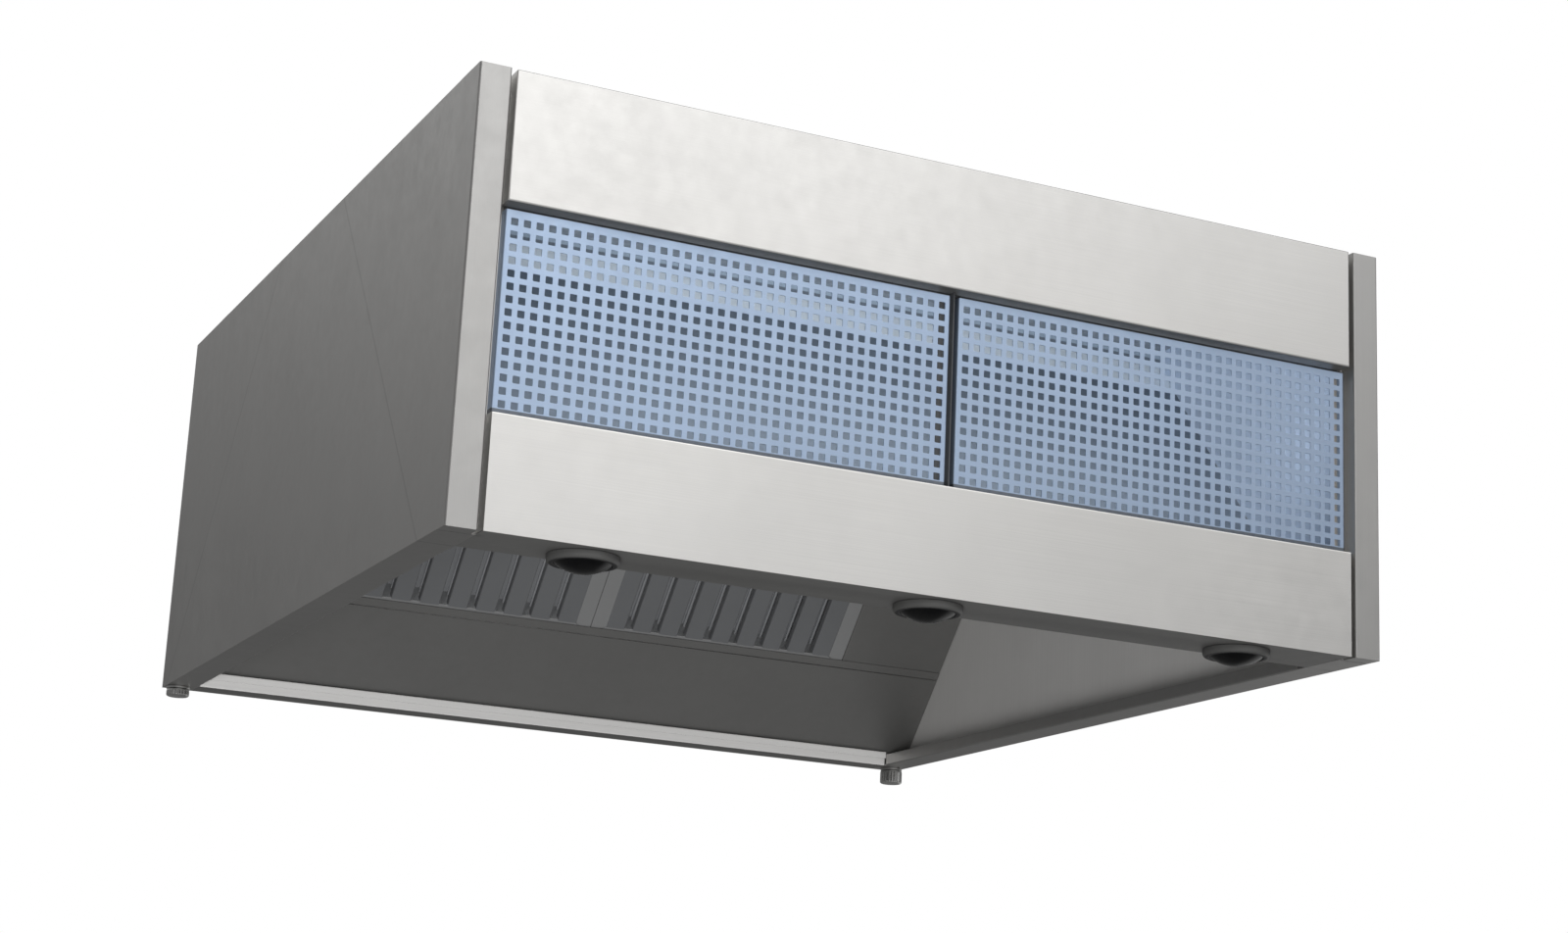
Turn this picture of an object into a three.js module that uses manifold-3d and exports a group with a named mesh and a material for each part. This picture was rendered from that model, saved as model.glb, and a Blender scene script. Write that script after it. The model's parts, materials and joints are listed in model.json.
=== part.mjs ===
// Wall-type extraction canopy with a fresh-air front plenum, sloping grease filters and a drip channel.
// Millimetres, +Z up. The front faces -Y and the width runs along X.
// The origin is the centre of the flat rear face that goes against the wall.

import * as THREE from 'three';
import { mergeVertices } from 'three/addons/utils/BufferGeometryUtils.js';
import Module from 'manifold-3d';

const wasm = await Module();
wasm.setup();

// ---------------------------------------------------------------- driving dimensions

const WIDTH = 1400;
const DEPTH = 1480;
const HEIGHT = 605;
const SHEET = 1.5;
const GAP = 0.3;
// How far a cutting shape runs past the face that it cuts.
const OVERRUN = 5;

const POST_FACE = 43;
const POST_GROOVE = 7;
const POST_RETURN = 28.5;
const POST_FLANGE = 17;
const CHANNEL_WIDTH = 50;
const CHANNEL_LIP = 20;
const REAR_LEG = 30;

const BOTTOM_FASCIA_TOP = 152;
const TOP_FASCIA_BOTTOM = 428;
const TOP_FASCIA_RETURN = 25;
const PANEL_RECESS = 12;
const PANEL_BOTTOM = 148;
const PANEL_TOP = 423;
const PANEL_RETURN = 15;
const PANEL_HOOK = 10;
const MULLION_GAP = 12.6;
const TRACK = { hookRoom: 5, slotTop: 27, ledgeBack: 40, ledgeFoot: 115 };
const MULLION = { halfWidth: 14, flange: 3, halfWeb: 1 };

const SOFFIT_DEPTH = 108;
const LIGHT_SPACING = 495;
const LIGHT_Y = 60;
const LIGHT_RADIUS = 37;
const BEZEL_RADIUS = 47.5;
const BEZEL_DROP = 11.5;
const DOME_DROP = 23;
const SOFFIT_HOLE = LIGHT_RADIUS + 3;
const CAN_TOP = 75;

// Foot and head of the fresh-air plenum's sloping back, and of the filter bank's sloping face.
const PLENUM_FOOT = { y: SOFFIT_DEPTH + GAP, z: 2 * SHEET };
const PLENUM_HEAD = { y: 567, z: 569 };
const BANK_FOOT = { y: 1448, z: 0 };
const BANK_HEAD = { y: 929, z: HEIGHT };

const GUTTER_DEPTH = 56;
const GUTTER_LIP = 25;
const GUTTER_BACK = 60;
const GUTTER_HEM = { width: 3.5, depth: 12 };

// Places along the filter bank's slope, measured up from its foot.
const APRON_START = 19;
const FILTER_LEDGE = 200;
const LEDGE_LIP = 16;
const HEAD_LIP_START = 678;
const HEAD_WEB = 720;
const HEAD_END = 793;
const BANK_DEPTH = 54;

const FILTER_SIZE = 495;
const FILTER_DEPTH = 48;
const FILTER_BORDER = 20;
const FILTER_FACE = SHEET + 0.8;
const BAFFLE_PITCH = 50.5;
const BAFFLE_WIDTH = 34;
const BAFFLE_DEPTH = 13;
const FRONT_BAFFLES = 9;

const HANDLE_WIRE = 2;
const HANDLE_DROP = 34;
const HANDLE_PIVOT_OUT = 5.8;
const LUG = { halfWidth: 4, halfHeight: 5, out: 4.5 };

const DUCT_WIDTH = 500;
const FLANGE = 20;
const EXHAUST_DUCT = { centreY: 1200, depth: 300, height: 75 };
const SUPPLY_DUCT = { centreY: 305, depth: 250, height: 60 };

const BLADE_COUNT = 4;
const BLADE_HALF_CHORD = 29;
const BLADE_HALF_THICKNESS = 2.5;
const BLADE_SHAFT = 4;
const CRANK_RADIUS = 22;
const CRANK_PIN = 2.5;
const LINK_HALF_WIDTH = 5;
const PLATE = 3;

const DRAIN_X = 679;
const DRAIN_Y = 1452;
const DRAIN_HOLE = 11.5;

// ---------------------------------------------------------------- materials

const finish = (color, roughness, metalness) => new THREE.MeshStandardMaterial({ color, roughness, metalness });
const steel = (colour, roughness) => finish(colour, roughness, 1);
const plastic = (colour, roughness) => finish(colour, roughness, 0);

const satinSteel = steel(0xd9d8d5, 0.35);
const insideSteel = steel(0xa9a8a5, 0.45);
const filterSteel = steel(0x9aa0a6, 0.4);
const perforatedSteel = steel(0xb0c4de, 0.4);
const galvanised = steel(0x9a9d9f, 0.55);
const polished = steel(0xc9c9c7, 0.2);
const darkTrim = plastic(0x26292c, 0.6);
const lampBlack = plastic(0x17181a, 0.35);
const smokedGlass = plastic(0x0c0d0e, 0.12);
const lampWhite = plastic(0xe8e6dc, 0.5);
const cableBlack = plastic(0x1b1b1c, 0.65);

// ---------------------------------------------------------------- shape helpers

const halfWidth = WIDTH / 2;
const innerHalf = halfWidth - SHEET - GAP;
const fasciaHalf = halfWidth - POST_FACE - POST_GROOVE - GAP;
const panelHalf = fasciaHalf - SHEET - 2 * GAP;

function block(x0, x1, y0, y1, z0, z1) {
  const geometry = new THREE.BoxGeometry(x1 - x0, y1 - y0, z1 - z0);
  return geometry.translate((x0 + x1) / 2, (y0 + y1) / 2, (z0 + z1) / 2);
}

// Extrudes an outline and lays its two axes and its length along the three given directions.
function extruded(outline, length, across, up, along, start) {
  const shape = new THREE.Shape(outline.map(([a, b]) => new THREE.Vector2(a, b)));
  const geometry = new THREE.ExtrudeGeometry(shape, { depth: length, bevelEnabled: false, steps: 1 });
  const basis = new THREE.Matrix4().makeBasis(across, up, along);
  return geometry.applyMatrix4(basis).translate(...start);
}

const axisX = new THREE.Vector3(1, 0, 0);
const axisY = new THREE.Vector3(0, 1, 0);
const axisZ = new THREE.Vector3(0, 0, 1);

// Outline points are (y, z) in the first and (x, y) in the second.
const alongX = (outline, x0, x1) => extruded(outline, x1 - x0, axisY, axisZ, axisX, [x0, 0, 0]);
const alongZ = (outline, z0, z1) => extruded(outline, z1 - z0, axisX, axisY, axisZ, [0, 0, z0]);

// Outline of a sheet folded at the given corners. Its thickness lies to the left of the line of corners.
function folded(corners, thickness = SHEET) {
  const normals = corners.slice(1).map(([x, y], i) => {
    const direction = new THREE.Vector2(x - corners[i][0], y - corners[i][1]).normalize();
    return new THREE.Vector2(-direction.y, direction.x);
  });
  const offset = corners.map(([x, y], i) => {
    const before = normals[Math.max(i - 1, 0)];
    const after = normals[Math.min(i, normals.length - 1)];
    const reach = thickness / (1 + before.dot(after));
    return [x + (before.x + after.x) * reach, y + (before.y + after.y) * reach];
  });
  return [...corners, ...offset.reverse()];
}

// Turns a profile of (radius, height) points into a round solid about a vertical axis.
function revolved(profile, segments = 24) {
  const points = profile.map(([r, z]) => new THREE.Vector2(r, z));
  return new THREE.LatheGeometry(points, segments).rotateX(Math.PI / 2);
}

function rod(radius, from, to, segments = 8) {
  const start = new THREE.Vector3(...from);
  const end = new THREE.Vector3(...to);
  const direction = end.clone().sub(start);
  const geometry = new THREE.CylinderGeometry(radius, radius, direction.length(), segments);
  geometry.applyQuaternion(new THREE.Quaternion().setFromUnitVectors(axisY, direction.normalize()));
  return geometry.translate(...start.add(end).multiplyScalar(0.5));
}

const upright = (radius, x, y, z0, z1, segments = 12) => rod(radius, [x, y, z0], [x, y, z1], segments);

// Coordinates are snapped to a fine binary grid, so that faces meant to meet do meet exactly.
const SNAP = 1024;

function toSolid(geometry) {
  const bare = geometry.clone();
  bare.deleteAttribute('normal');
  bare.deleteAttribute('uv');
  const welded = mergeVertices(bare, 1e-3);
  const vertProperties = welded.attributes.position.array.map((value) => Math.round(value * SNAP) / SNAP);
  const triVerts = new Uint32Array(welded.index.array);
  return new wasm.Manifold(new wasm.Mesh({ numProp: 3, vertProperties, triVerts }));
}

function toGeometry(solid) {
  const mesh = solid.getMesh();
  const geometry = new THREE.BufferGeometry();
  geometry.setAttribute('position', new THREE.BufferAttribute(mesh.vertProperties, 3));
  geometry.setIndex(new THREE.BufferAttribute(mesh.triVerts, 1));
  geometry.computeVertexNormals();
  return geometry;
}

// Joins the first list of geometries into one piece and cuts the second list out of it.
function shaped(joined, cut = []) {
  let solid = toSolid(joined[0]);
  for (const geometry of joined.slice(1)) {
    solid = solid.add(toSolid(geometry));
  }
  for (const geometry of cut) {
    solid = solid.subtract(toSolid(geometry));
  }
  return toGeometry(solid);
}

function place(parent, name, geometry, material) {
  const mesh = new THREE.Mesh(geometry, material);
  mesh.name = name;
  parent.add(mesh);
  return mesh;
}

const sides = [
  ['left', -1],
  ['right', 1],
];

// ---------------------------------------------------------------- groups

const canopy = new THREE.Group();

// The body's own frame has its front face at y = 0 and its lower rim at z = 0.
const body = new THREE.Group();
body.position.set(0, -DEPTH, -HEIGHT / 2);
canopy.add(body);

// The filter bank's frame has z up the slope and y into the exhaust plenum.
const bank = new THREE.Group();
const bankLean = Math.atan2(BANK_FOOT.y - BANK_HEAD.y, BANK_HEAD.z - BANK_FOOT.z);
bank.position.set(0, BANK_FOOT.y, BANK_FOOT.z);
bank.rotation.x = bankLean;
body.add(bank);

// ---------------------------------------------------------------- casing

// Each end panel folds into the front corner post and into the drip channel along its lower edge.
function endPanel(side) {
  const postEdge = halfWidth - POST_FACE;
  const inner = halfWidth - CHANNEL_WIDTH;
  const plan = folded(
    [
      [halfWidth, DEPTH],
      [halfWidth, 0],
      [postEdge, 0],
      [postEdge, POST_RETURN],
      [postEdge - POST_FLANGE, POST_RETURN],
    ],
    -SHEET,
  );
  const [edge0, edge1] = [side * halfWidth, side * inner].sort((a, b) => a - b);
  const [lip0, lip1] = [side * inner, side * (inner + SHEET)].sort((a, b) => a - b);
  const [cap0, cap1] = [side * halfWidth, side * postEdge].sort((a, b) => a - b);
  const [notch0, notch1] = [side * inner, side * (postEdge - POST_FLANGE - OVERRUN)].sort((a, b) => a - b);
  const lipStart = SOFFIT_DEPTH + CHANNEL_LIP;
  const lipEnd = DEPTH - GUTTER_DEPTH - GUTTER_HEM.width - 2 * GAP;
  return shaped(
    [
      alongZ(plan.map(([x, y]) => [side * x, y]), 0, HEIGHT),
      block(edge0, edge1, 0, DEPTH - SHEET - GAP, 0, SHEET),
      block(lip0, lip1, lipStart, lipEnd, 0, CHANNEL_LIP),
      block(cap0, cap1, 0, POST_RETURN, HEIGHT - SHEET, HEIGHT),
    ],
    [
      upright(DRAIN_HOLE, side * DRAIN_X, DRAIN_Y, -OVERRUN, OVERRUN, 16),
      block(notch0, notch1, POST_RETURN - GAP, POST_RETURN + SHEET + GAP, -OVERRUN, SHEET + GAP),
    ],
  );
}

for (const [name, side] of sides) {
  place(body, `${name}_end_panel`, endPanel(side), satinSteel);
}

// The rear panel is a flat wall face with a leg folded forward inside each end panel.
const rearPlan = folded([
  [innerHalf, DEPTH - REAR_LEG],
  [innerHalf, DEPTH],
  [-innerHalf, DEPTH],
  [-innerHalf, DEPTH - REAR_LEG],
]);
const legTrim = (z0, z1) => block(-WIDTH, WIDTH, DEPTH - REAR_LEG - OVERRUN, DEPTH - SHEET, z0, z1);
const rearPanel = shaped(
  [alongZ(rearPlan, 0, HEIGHT)],
  [legTrim(-OVERRUN, SHEET + GAP), legTrim(HEIGHT - SHEET - GAP, HEIGHT + OVERRUN)],
);
place(body, 'rear_panel', rearPanel, satinSteel);

// Each fascia is a shallow folded tray with a leg at each end. The top one also wraps back over the roof.
const legDepth = POST_RETURN - GAP;
const legInner = fasciaHalf - SHEET;
const pastLeg = legDepth + OVERRUN;

const topFascia = shaped(
  [block(-fasciaHalf, fasciaHalf, 0, legDepth, TOP_FASCIA_BOTTOM, HEIGHT)],
  [
    block(-legInner, legInner, SHEET, pastLeg, TOP_FASCIA_BOTTOM + SHEET, HEIGHT - SHEET),
    block(-legInner, legInner, TOP_FASCIA_RETURN, pastLeg,
      TOP_FASCIA_BOTTOM - OVERRUN, TOP_FASCIA_BOTTOM + 2 * SHEET),
  ],
);
place(body, 'top_fascia', topFascia, satinSteel);

const bottomReturn = PANEL_RECESS - 2 * GAP;
const bottomFascia = shaped(
  [block(-fasciaHalf, fasciaHalf, 0, legDepth, 0, BOTTOM_FASCIA_TOP)],
  [
    block(-legInner, legInner, SHEET, pastLeg, -OVERRUN, BOTTOM_FASCIA_TOP - SHEET),
    block(-legInner, legInner, bottomReturn, pastLeg,
      BOTTOM_FASCIA_TOP - 2 * SHEET, BOTTOM_FASCIA_TOP + OVERRUN),
    block(-WIDTH, WIDTH, SHEET, pastLeg, -OVERRUN, SHEET + GAP),
  ],
);
place(body, 'bottom_fascia', bottomFascia, satinSteel);

// ---------------------------------------------------------------- roof, ducts and hangers

const roofTop = HEIGHT;
const hangerPlaces = [
  ['front_left', -640, 130],
  ['front_right', 640, 130],
  ['rear_left', -640, 1400],
  ['rear_right', 640, 1400],
];
const hanger = { halfWidth: 30, flange: 40, height: 38, thickness: 3, boltOffset: 12 };
const bolt = { shank: 4, hole: 4.5, head: 7.5, headHeight: 5.5, below: 12 };
const rodHoleRadius = 5.5;
const cableHole = { x: 530, y: 175, radius: 7 };
const roofHole = (radius, x, y) => upright(radius, x, y, roofTop - OVERRUN, roofTop + OVERRUN);
const ductHole = (duct) =>
  block(-DUCT_WIDTH / 2, DUCT_WIDTH / 2, duct.centreY - duct.depth / 2, duct.centreY + duct.depth / 2,
    roofTop - OVERRUN, roofTop + OVERRUN);
const boltY = (y) => y - hanger.boltOffset;

const roof = shaped(
  [block(-innerHalf, innerHalf, POST_RETURN + GAP + SHEET, DEPTH - SHEET - GAP, roofTop - SHEET, roofTop)],
  [
    ductHole(EXHAUST_DUCT),
    ductHole(SUPPLY_DUCT),
    roofHole(cableHole.radius, cableHole.x, cableHole.y),
    ...hangerPlaces.map(([, x, y]) => roofHole(bolt.hole, x, boltY(y))),
  ],
);
place(body, 'roof_panel', roof, galvanised);

// A rectangular duct collar with a foot flange on the roof and a duct flange at its top.
function collar(duct, holes) {
  const base = roofTop + GAP;
  const top = roofTop + duct.height;
  const x = DUCT_WIDTH / 2;
  const y0 = duct.centreY - duct.depth / 2;
  const y1 = duct.centreY + duct.depth / 2;
  return shaped(
    [
      block(-x, x, y0, y1, base, top),
      block(-x - FLANGE, x + FLANGE, y0 - FLANGE, y1 + FLANGE, base, base + SHEET),
      block(-x - FLANGE, x + FLANGE, y0 - FLANGE, y1 + FLANGE, top - SHEET, top),
    ],
    [block(-x + SHEET, x - SHEET, y0 + SHEET, y1 - SHEET, base - OVERRUN, top + OVERRUN), ...holes],
  );
}

const bladeY = (k) => SUPPLY_DUCT.centreY + (k - (BLADE_COUNT + 1) / 2) * (SUPPLY_DUCT.depth / BLADE_COUNT);
const bladeZ = roofTop + SUPPLY_DUCT.height / 2;
const blades = Array.from({ length: BLADE_COUNT }, (_, i) => i + 1);
const shaftHoles = blades.map((k) =>
  rod(BLADE_SHAFT + 2 * GAP, [-DUCT_WIDTH, bladeY(k), bladeZ], [DUCT_WIDTH, bladeY(k), bladeZ], 12));

place(body, 'exhaust_spigot', collar(EXHAUST_DUCT, []), galvanised);
place(body, 'supply_spigot', collar(SUPPLY_DUCT, shaftHoles), galvanised);

// Each hanger is a Z-shaped bracket: bolted foot, upright web and a top flange for a drop rod.
for (const [name, x, y] of hangerPlaces) {
  const foot = roofTop + GAP;
  const profile = folded(
    [
      [y - hanger.flange, foot],
      [y, foot],
      [y, foot + hanger.height],
      [y + hanger.flange, foot + hanger.height],
    ],
    hanger.thickness,
  );
  const flangeTop = foot + hanger.height + hanger.thickness;
  const bracket = shaped(
    [alongX(profile, x - hanger.halfWidth, x + hanger.halfWidth)],
    [
      upright(rodHoleRadius, x, y + hanger.flange / 2, foot + hanger.height - OVERRUN, flangeTop + OVERRUN),
      upright(bolt.hole, x, boltY(y), foot - OVERRUN, foot + hanger.thickness + OVERRUN),
    ],
  );
  place(body, `hanger_${name}`, bracket, galvanised);

  const seat = foot + hanger.thickness + GAP;
  const hexBolt = shaped([
    upright(bolt.head, x, boltY(y), seat, seat + bolt.headHeight, 6),
    upright(bolt.shank, x, boltY(y), roofTop - bolt.below, seat + 1),
  ]);
  place(body, `hanger_bolt_${name}`, hexBolt, polished);
}

// ---------------------------------------------------------------- volume damper in the supply spigot

const crankInner = DUCT_WIDTH / 2 + 4;
const crankOuter = crankInner + PLATE;
const linkInner = crankOuter + GAP;
const linkOuter = linkInner + PLATE;
const leverInner = DUCT_WIDTH / 2 + FLANGE + PLATE;
const leverOuter = leverInner + PLATE;
const crankReach = CRANK_RADIUS * Math.SQRT1_2;
const crankSide = LINK_HALF_WIDTH * Math.SQRT1_2;
const bladeEnd = DUCT_WIDTH / 2 - SHEET - 2.5;
const BLADE_FLAT = 10;

for (const k of blades) {
  const y = bladeY(k);
  const lens = [
    [y - BLADE_HALF_CHORD, bladeZ],
    [y - BLADE_FLAT, bladeZ - BLADE_HALF_THICKNESS],
    [y + BLADE_FLAT, bladeZ - BLADE_HALF_THICKNESS],
    [y + BLADE_HALF_CHORD, bladeZ],
    [y + BLADE_FLAT, bladeZ + BLADE_HALF_THICKNESS],
    [y - BLADE_FLAT, bladeZ + BLADE_HALF_THICKNESS],
  ];
  const shaftEnd = k === 1 ? leverOuter + 2 : crankOuter;
  const crank = folded(
    [
      [y - crankSide, bladeZ + crankSide],
      [y - crankSide + crankReach, bladeZ + crankSide + crankReach],
    ],
    -2 * LINK_HALF_WIDTH,
  );
  const blade = shaped([
    alongX(lens, -bladeEnd, bladeEnd),
    rod(BLADE_SHAFT, [-DUCT_WIDTH / 2 - PLATE, y, bladeZ], [shaftEnd, y, bladeZ], 12),
    alongX(crank, crankInner, crankOuter),
    rod(CRANK_PIN, [crankInner + 1, y + crankReach, bladeZ + crankReach],
      [linkOuter + 2, y + crankReach, bladeZ + crankReach], 12),
  ]);
  place(body, `damper_blade_${k}`, blade, galvanised);
}

const LINK_END = 8;
const linkZ = bladeZ + crankReach;
const linkStart = bladeY(1) + crankReach - LINK_END;
const linkStop = bladeY(BLADE_COUNT) + crankReach + LINK_END;
const link = shaped(
  [block(linkInner, linkOuter, linkStart, linkStop, linkZ - LINK_HALF_WIDTH, linkZ + LINK_HALF_WIDTH)],
  blades.map((k) => rod(CRANK_PIN + 2 * GAP, [linkInner - 1, bladeY(k) + crankReach, linkZ],
    [linkOuter + 1, bladeY(k) + crankReach, linkZ], 12)),
);
place(body, 'damper_link', link, polished);

const leverArm = { length: 62, halfWidth: 7, knobWidth: 12, knobHalf: 6 };
const leverEnd = bladeY(1) + leverArm.length;
const lever = shaped(
  [
    block(leverInner, leverOuter, bladeY(1) - leverArm.halfWidth, leverEnd,
      bladeZ - leverArm.halfWidth, bladeZ + leverArm.halfWidth),
    block(leverOuter - 1, leverOuter + leverArm.knobWidth, leverEnd - leverArm.knobWidth, leverEnd,
      bladeZ - leverArm.knobHalf, bladeZ + leverArm.knobHalf),
  ],
  [rod(BLADE_SHAFT + GAP, [leverInner - 1, bladeY(1), bladeZ], [leverOuter + 1, bladeY(1), bladeZ], 12)],
);
place(body, 'damper_lever', lever, polished);

// ---------------------------------------------------------------- fresh-air plenum

const plenumBack = folded([
  [PLENUM_HEAD.y, HEIGHT - SHEET - GAP],
  [PLENUM_HEAD.y, PLENUM_HEAD.z],
  [PLENUM_FOOT.y, PLENUM_FOOT.z],
]);
place(body, 'plenum_back', alongX(plenumBack, -innerHalf, innerHalf), insideSteel);

const lights = [
  ['left', -LIGHT_SPACING],
  ['middle', 0],
  ['right', LIGHT_SPACING],
];
const SOFFIT_UPSTAND = 18;
const soffitProfile = folded([
  [SHEET + GAP, 0],
  [SOFFIT_DEPTH - GAP, 0],
  [SOFFIT_DEPTH - GAP, SOFFIT_UPSTAND],
]);
const soffit = shaped(
  [alongX(soffitProfile, -fasciaHalf, fasciaHalf)],
  lights.map(([, x]) => upright(SOFFIT_HOLE, x, LIGHT_Y, -OVERRUN, OVERRUN, 24)),
);
place(body, 'light_soffit', soffit, insideSteel);

// A perforated panel is a tray: face, four folded edges, and a hook along its top.
function perforatedPanel(side) {
  const [x0, x1] = [side * (MULLION_GAP / 2), side * panelHalf].sort((a, b) => a - b);
  const back = PANEL_RECESS + PANEL_RETURN;
  const front = PANEL_RECESS;
  return shaped(
    [
      block(x0, x1, front, back, PANEL_BOTTOM, PANEL_TOP),
      block(x0, x1, back - SHEET, back, PANEL_TOP - SHEET, PANEL_TOP + PANEL_HOOK),
    ],
    [block(x0 + SHEET, x1 - SHEET, front + SHEET, back + OVERRUN, PANEL_BOTTOM + SHEET, PANEL_TOP - SHEET)],
  );
}

for (const [name, side] of sides) {
  place(body, `${name}_perforated_panel`, perforatedPanel(side), perforatedSteel);
}

const trackHalf = halfWidth - POST_FACE - POST_FLANGE - GAP;
const upperTrack = folded([
  [POST_RETURN + SHEET, PANEL_TOP + TRACK.hookRoom],
  [POST_RETURN + SHEET, PANEL_TOP + TRACK.slotTop],
  [SHEET + GAP, PANEL_TOP + TRACK.slotTop],
]);
place(body, 'upper_panel_track', alongX(upperTrack, -trackHalf, trackHalf), darkTrim);

const lowerTrack = folded([
  [TRACK.ledgeBack, TRACK.ledgeFoot],
  [TRACK.ledgeBack, PANEL_BOTTOM - GAP],
  [PANEL_RECESS, PANEL_BOTTOM - GAP],
]);
place(body, 'lower_panel_track', alongX(lowerTrack, -trackHalf, trackHalf), darkTrim);

// A T-shaped upright closes the joint between the two trays from behind.
const mullionFlange = PANEL_RECESS + PANEL_RETURN + SHEET;
const mullionTop = PANEL_TOP + TRACK.hookRoom - 1;
const mullion = shaped([
  block(-MULLION.halfWidth, MULLION.halfWidth, mullionFlange, mullionFlange + MULLION.flange,
    PANEL_BOTTOM, mullionTop),
  block(-MULLION.halfWeb, MULLION.halfWeb, PANEL_RECESS + 1, mullionFlange + 1, PANEL_BOTTOM, mullionTop),
]);
place(body, 'panel_mullion', mullion, darkTrim);

// ---------------------------------------------------------------- downlights

// The bezel is a drum below the soffit, with a neck up through the hole. The glass dome hangs inside it.
const neck = LIGHT_RADIUS + 2.4;
const bore = LIGHT_RADIUS + 0.5;
const bezelProfile = [
  [bore, -BEZEL_DROP],
  [BEZEL_RADIUS - 4, -BEZEL_DROP],
  [BEZEL_RADIUS - 1, -BEZEL_DROP + 2],
  [BEZEL_RADIUS, -BEZEL_DROP + 5],
  [BEZEL_RADIUS, -GAP],
  [neck, -GAP],
  [neck, 4],
  [bore, 4],
  [bore, -BEZEL_DROP],
];

// Half of the section of a shallow glass dome of the given radius, from its crown to its rim.
function domeSection(radius, crown, rim, steps) {
  const sag = rim - crown;
  const sphere = (radius * radius + sag * sag) / (2 * sag);
  const sweep = Math.asin(radius / sphere);
  return Array.from({ length: steps + 1 }, (_, i) => {
    const angle = (sweep * i) / steps;
    return [sphere * Math.sin(angle), crown + sphere * (1 - Math.cos(angle))];
  });
}

const GLASS = 3;
const outerDome = domeSection(LIGHT_RADIUS, -DOME_DROP, -BEZEL_DROP + 1, 5);
const innerDome = domeSection(LIGHT_RADIUS - GLASS, -DOME_DROP + GLASS, -BEZEL_DROP + GLASS, 5);
const lensProfile = [
  ...outerDome,
  [LIGHT_RADIUS, 3],
  [LIGHT_RADIUS - GLASS, 3],
  ...innerDome.reverse(),
];
const canInner = SOFFIT_HOLE + 0.5;
const canFoot = SHEET + GAP;
const canProfile = [
  [canInner, canFoot],
  [canInner + SHEET, canFoot],
  [canInner + SHEET, CAN_TOP - 6],
  [LIGHT_RADIUS - 1, CAN_TOP],
  [0, CAN_TOP],
  [0, CAN_TOP - 2],
  [LIGHT_RADIUS - 2, CAN_TOP - 2],
  [canInner, CAN_TOP - 7],
  [canInner, canFoot],
];
const lampProfile = [
  [0, 14],
  [26, 14],
  [30, 18],
  [30, 22],
  [18, 26],
  [18, CAN_TOP - 2.5],
  [0, CAN_TOP - 2.5],
];

for (const [name, x] of lights) {
  const fitting = new THREE.Group();
  fitting.position.set(x, LIGHT_Y, 0);
  body.add(fitting);
  place(fitting, `${name}_light_bezel`, revolved(bezelProfile), polished);
  place(fitting, `${name}_light_lens`, revolved(lensProfile), smokedGlass);
  place(fitting, `${name}_light_can`, revolved(canProfile), lampBlack);
  place(fitting, `${name}_light_lamp`, revolved(lampProfile, 16), lampWhite);
}

// The supply cable passes over the cans, climbs behind the right post and goes out through the roof.
const cableRadius = 4;
const cableLine = CAN_TOP + cableRadius + 1;
const cablePath = new THREE.CatmullRomCurve3(
  [
    [-LIGHT_SPACING - 20, LIGHT_Y, cableLine],
    [-LIGHT_SPACING / 2, LIGHT_Y, cableLine],
    [0, LIGHT_Y, cableLine],
    [LIGHT_SPACING, LIGHT_Y, cableLine],
    [640, 55, cableLine + 4],
    [676, 45, 130],
    [680, 42, 300],
    [678, 44, 500],
    [655, 80, 565],
    [570, 150, 572],
    [cableHole.x + 5, cableHole.y - 2, 578],
    [cableHole.x, cableHole.y, 590],
    [cableHole.x, cableHole.y, roofTop],
    [cableHole.x, cableHole.y, roofTop + 6],
  ].map((point) => new THREE.Vector3(...point)),
);
const cableSection = new THREE.Shape(
  Array.from({ length: 6 }, (_, i) => {
    const angle = (i * Math.PI) / 3;
    return new THREE.Vector2(cableRadius * Math.cos(angle), cableRadius * Math.sin(angle));
  }),
);
const cable = new THREE.ExtrudeGeometry(cableSection, {
  steps: 48,
  bevelEnabled: false,
  extrudePath: cablePath,
});
place(body, 'lighting_cable', cable, cableBlack);

const box = {
  left: cableHole.x - 45,
  right: cableHole.x + 45,
  front: 120,
  back: 200,
  base: roofTop + GAP,
  top: roofTop + 42,
  lid: 6,
  step: 2,
  entry: 6,
};
const junctionBox = shaped(
  [
    block(box.left, box.right, box.front, box.back, box.base, box.top - box.lid),
    block(box.left + box.step, box.right - box.step, box.front + box.step, box.back - box.step,
      box.top - box.lid - 1, box.top),
  ],
  [upright(box.entry, cableHole.x, cableHole.y, box.base - OVERRUN, box.base + 2 * box.entry)],
);
place(body, 'junction_box', junctionBox, darkTrim);

// ---------------------------------------------------------------- gutter and drains

const gutterFront = DEPTH - GUTTER_DEPTH;
const gutterRear = DEPTH - SHEET - GAP;
const gutterProfile = folded([
  [gutterFront - GUTTER_HEM.width, GUTTER_LIP - GUTTER_HEM.depth],
  [gutterFront - GUTTER_HEM.width, GUTTER_LIP - SHEET],
  [gutterFront, GUTTER_LIP - SHEET],
  [gutterFront, 0],
  [gutterRear, 0],
  [gutterRear, GUTTER_BACK],
]);
place(body, 'rear_gutter', alongX(gutterProfile, -fasciaHalf, fasciaHalf), satinSteel);

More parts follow.
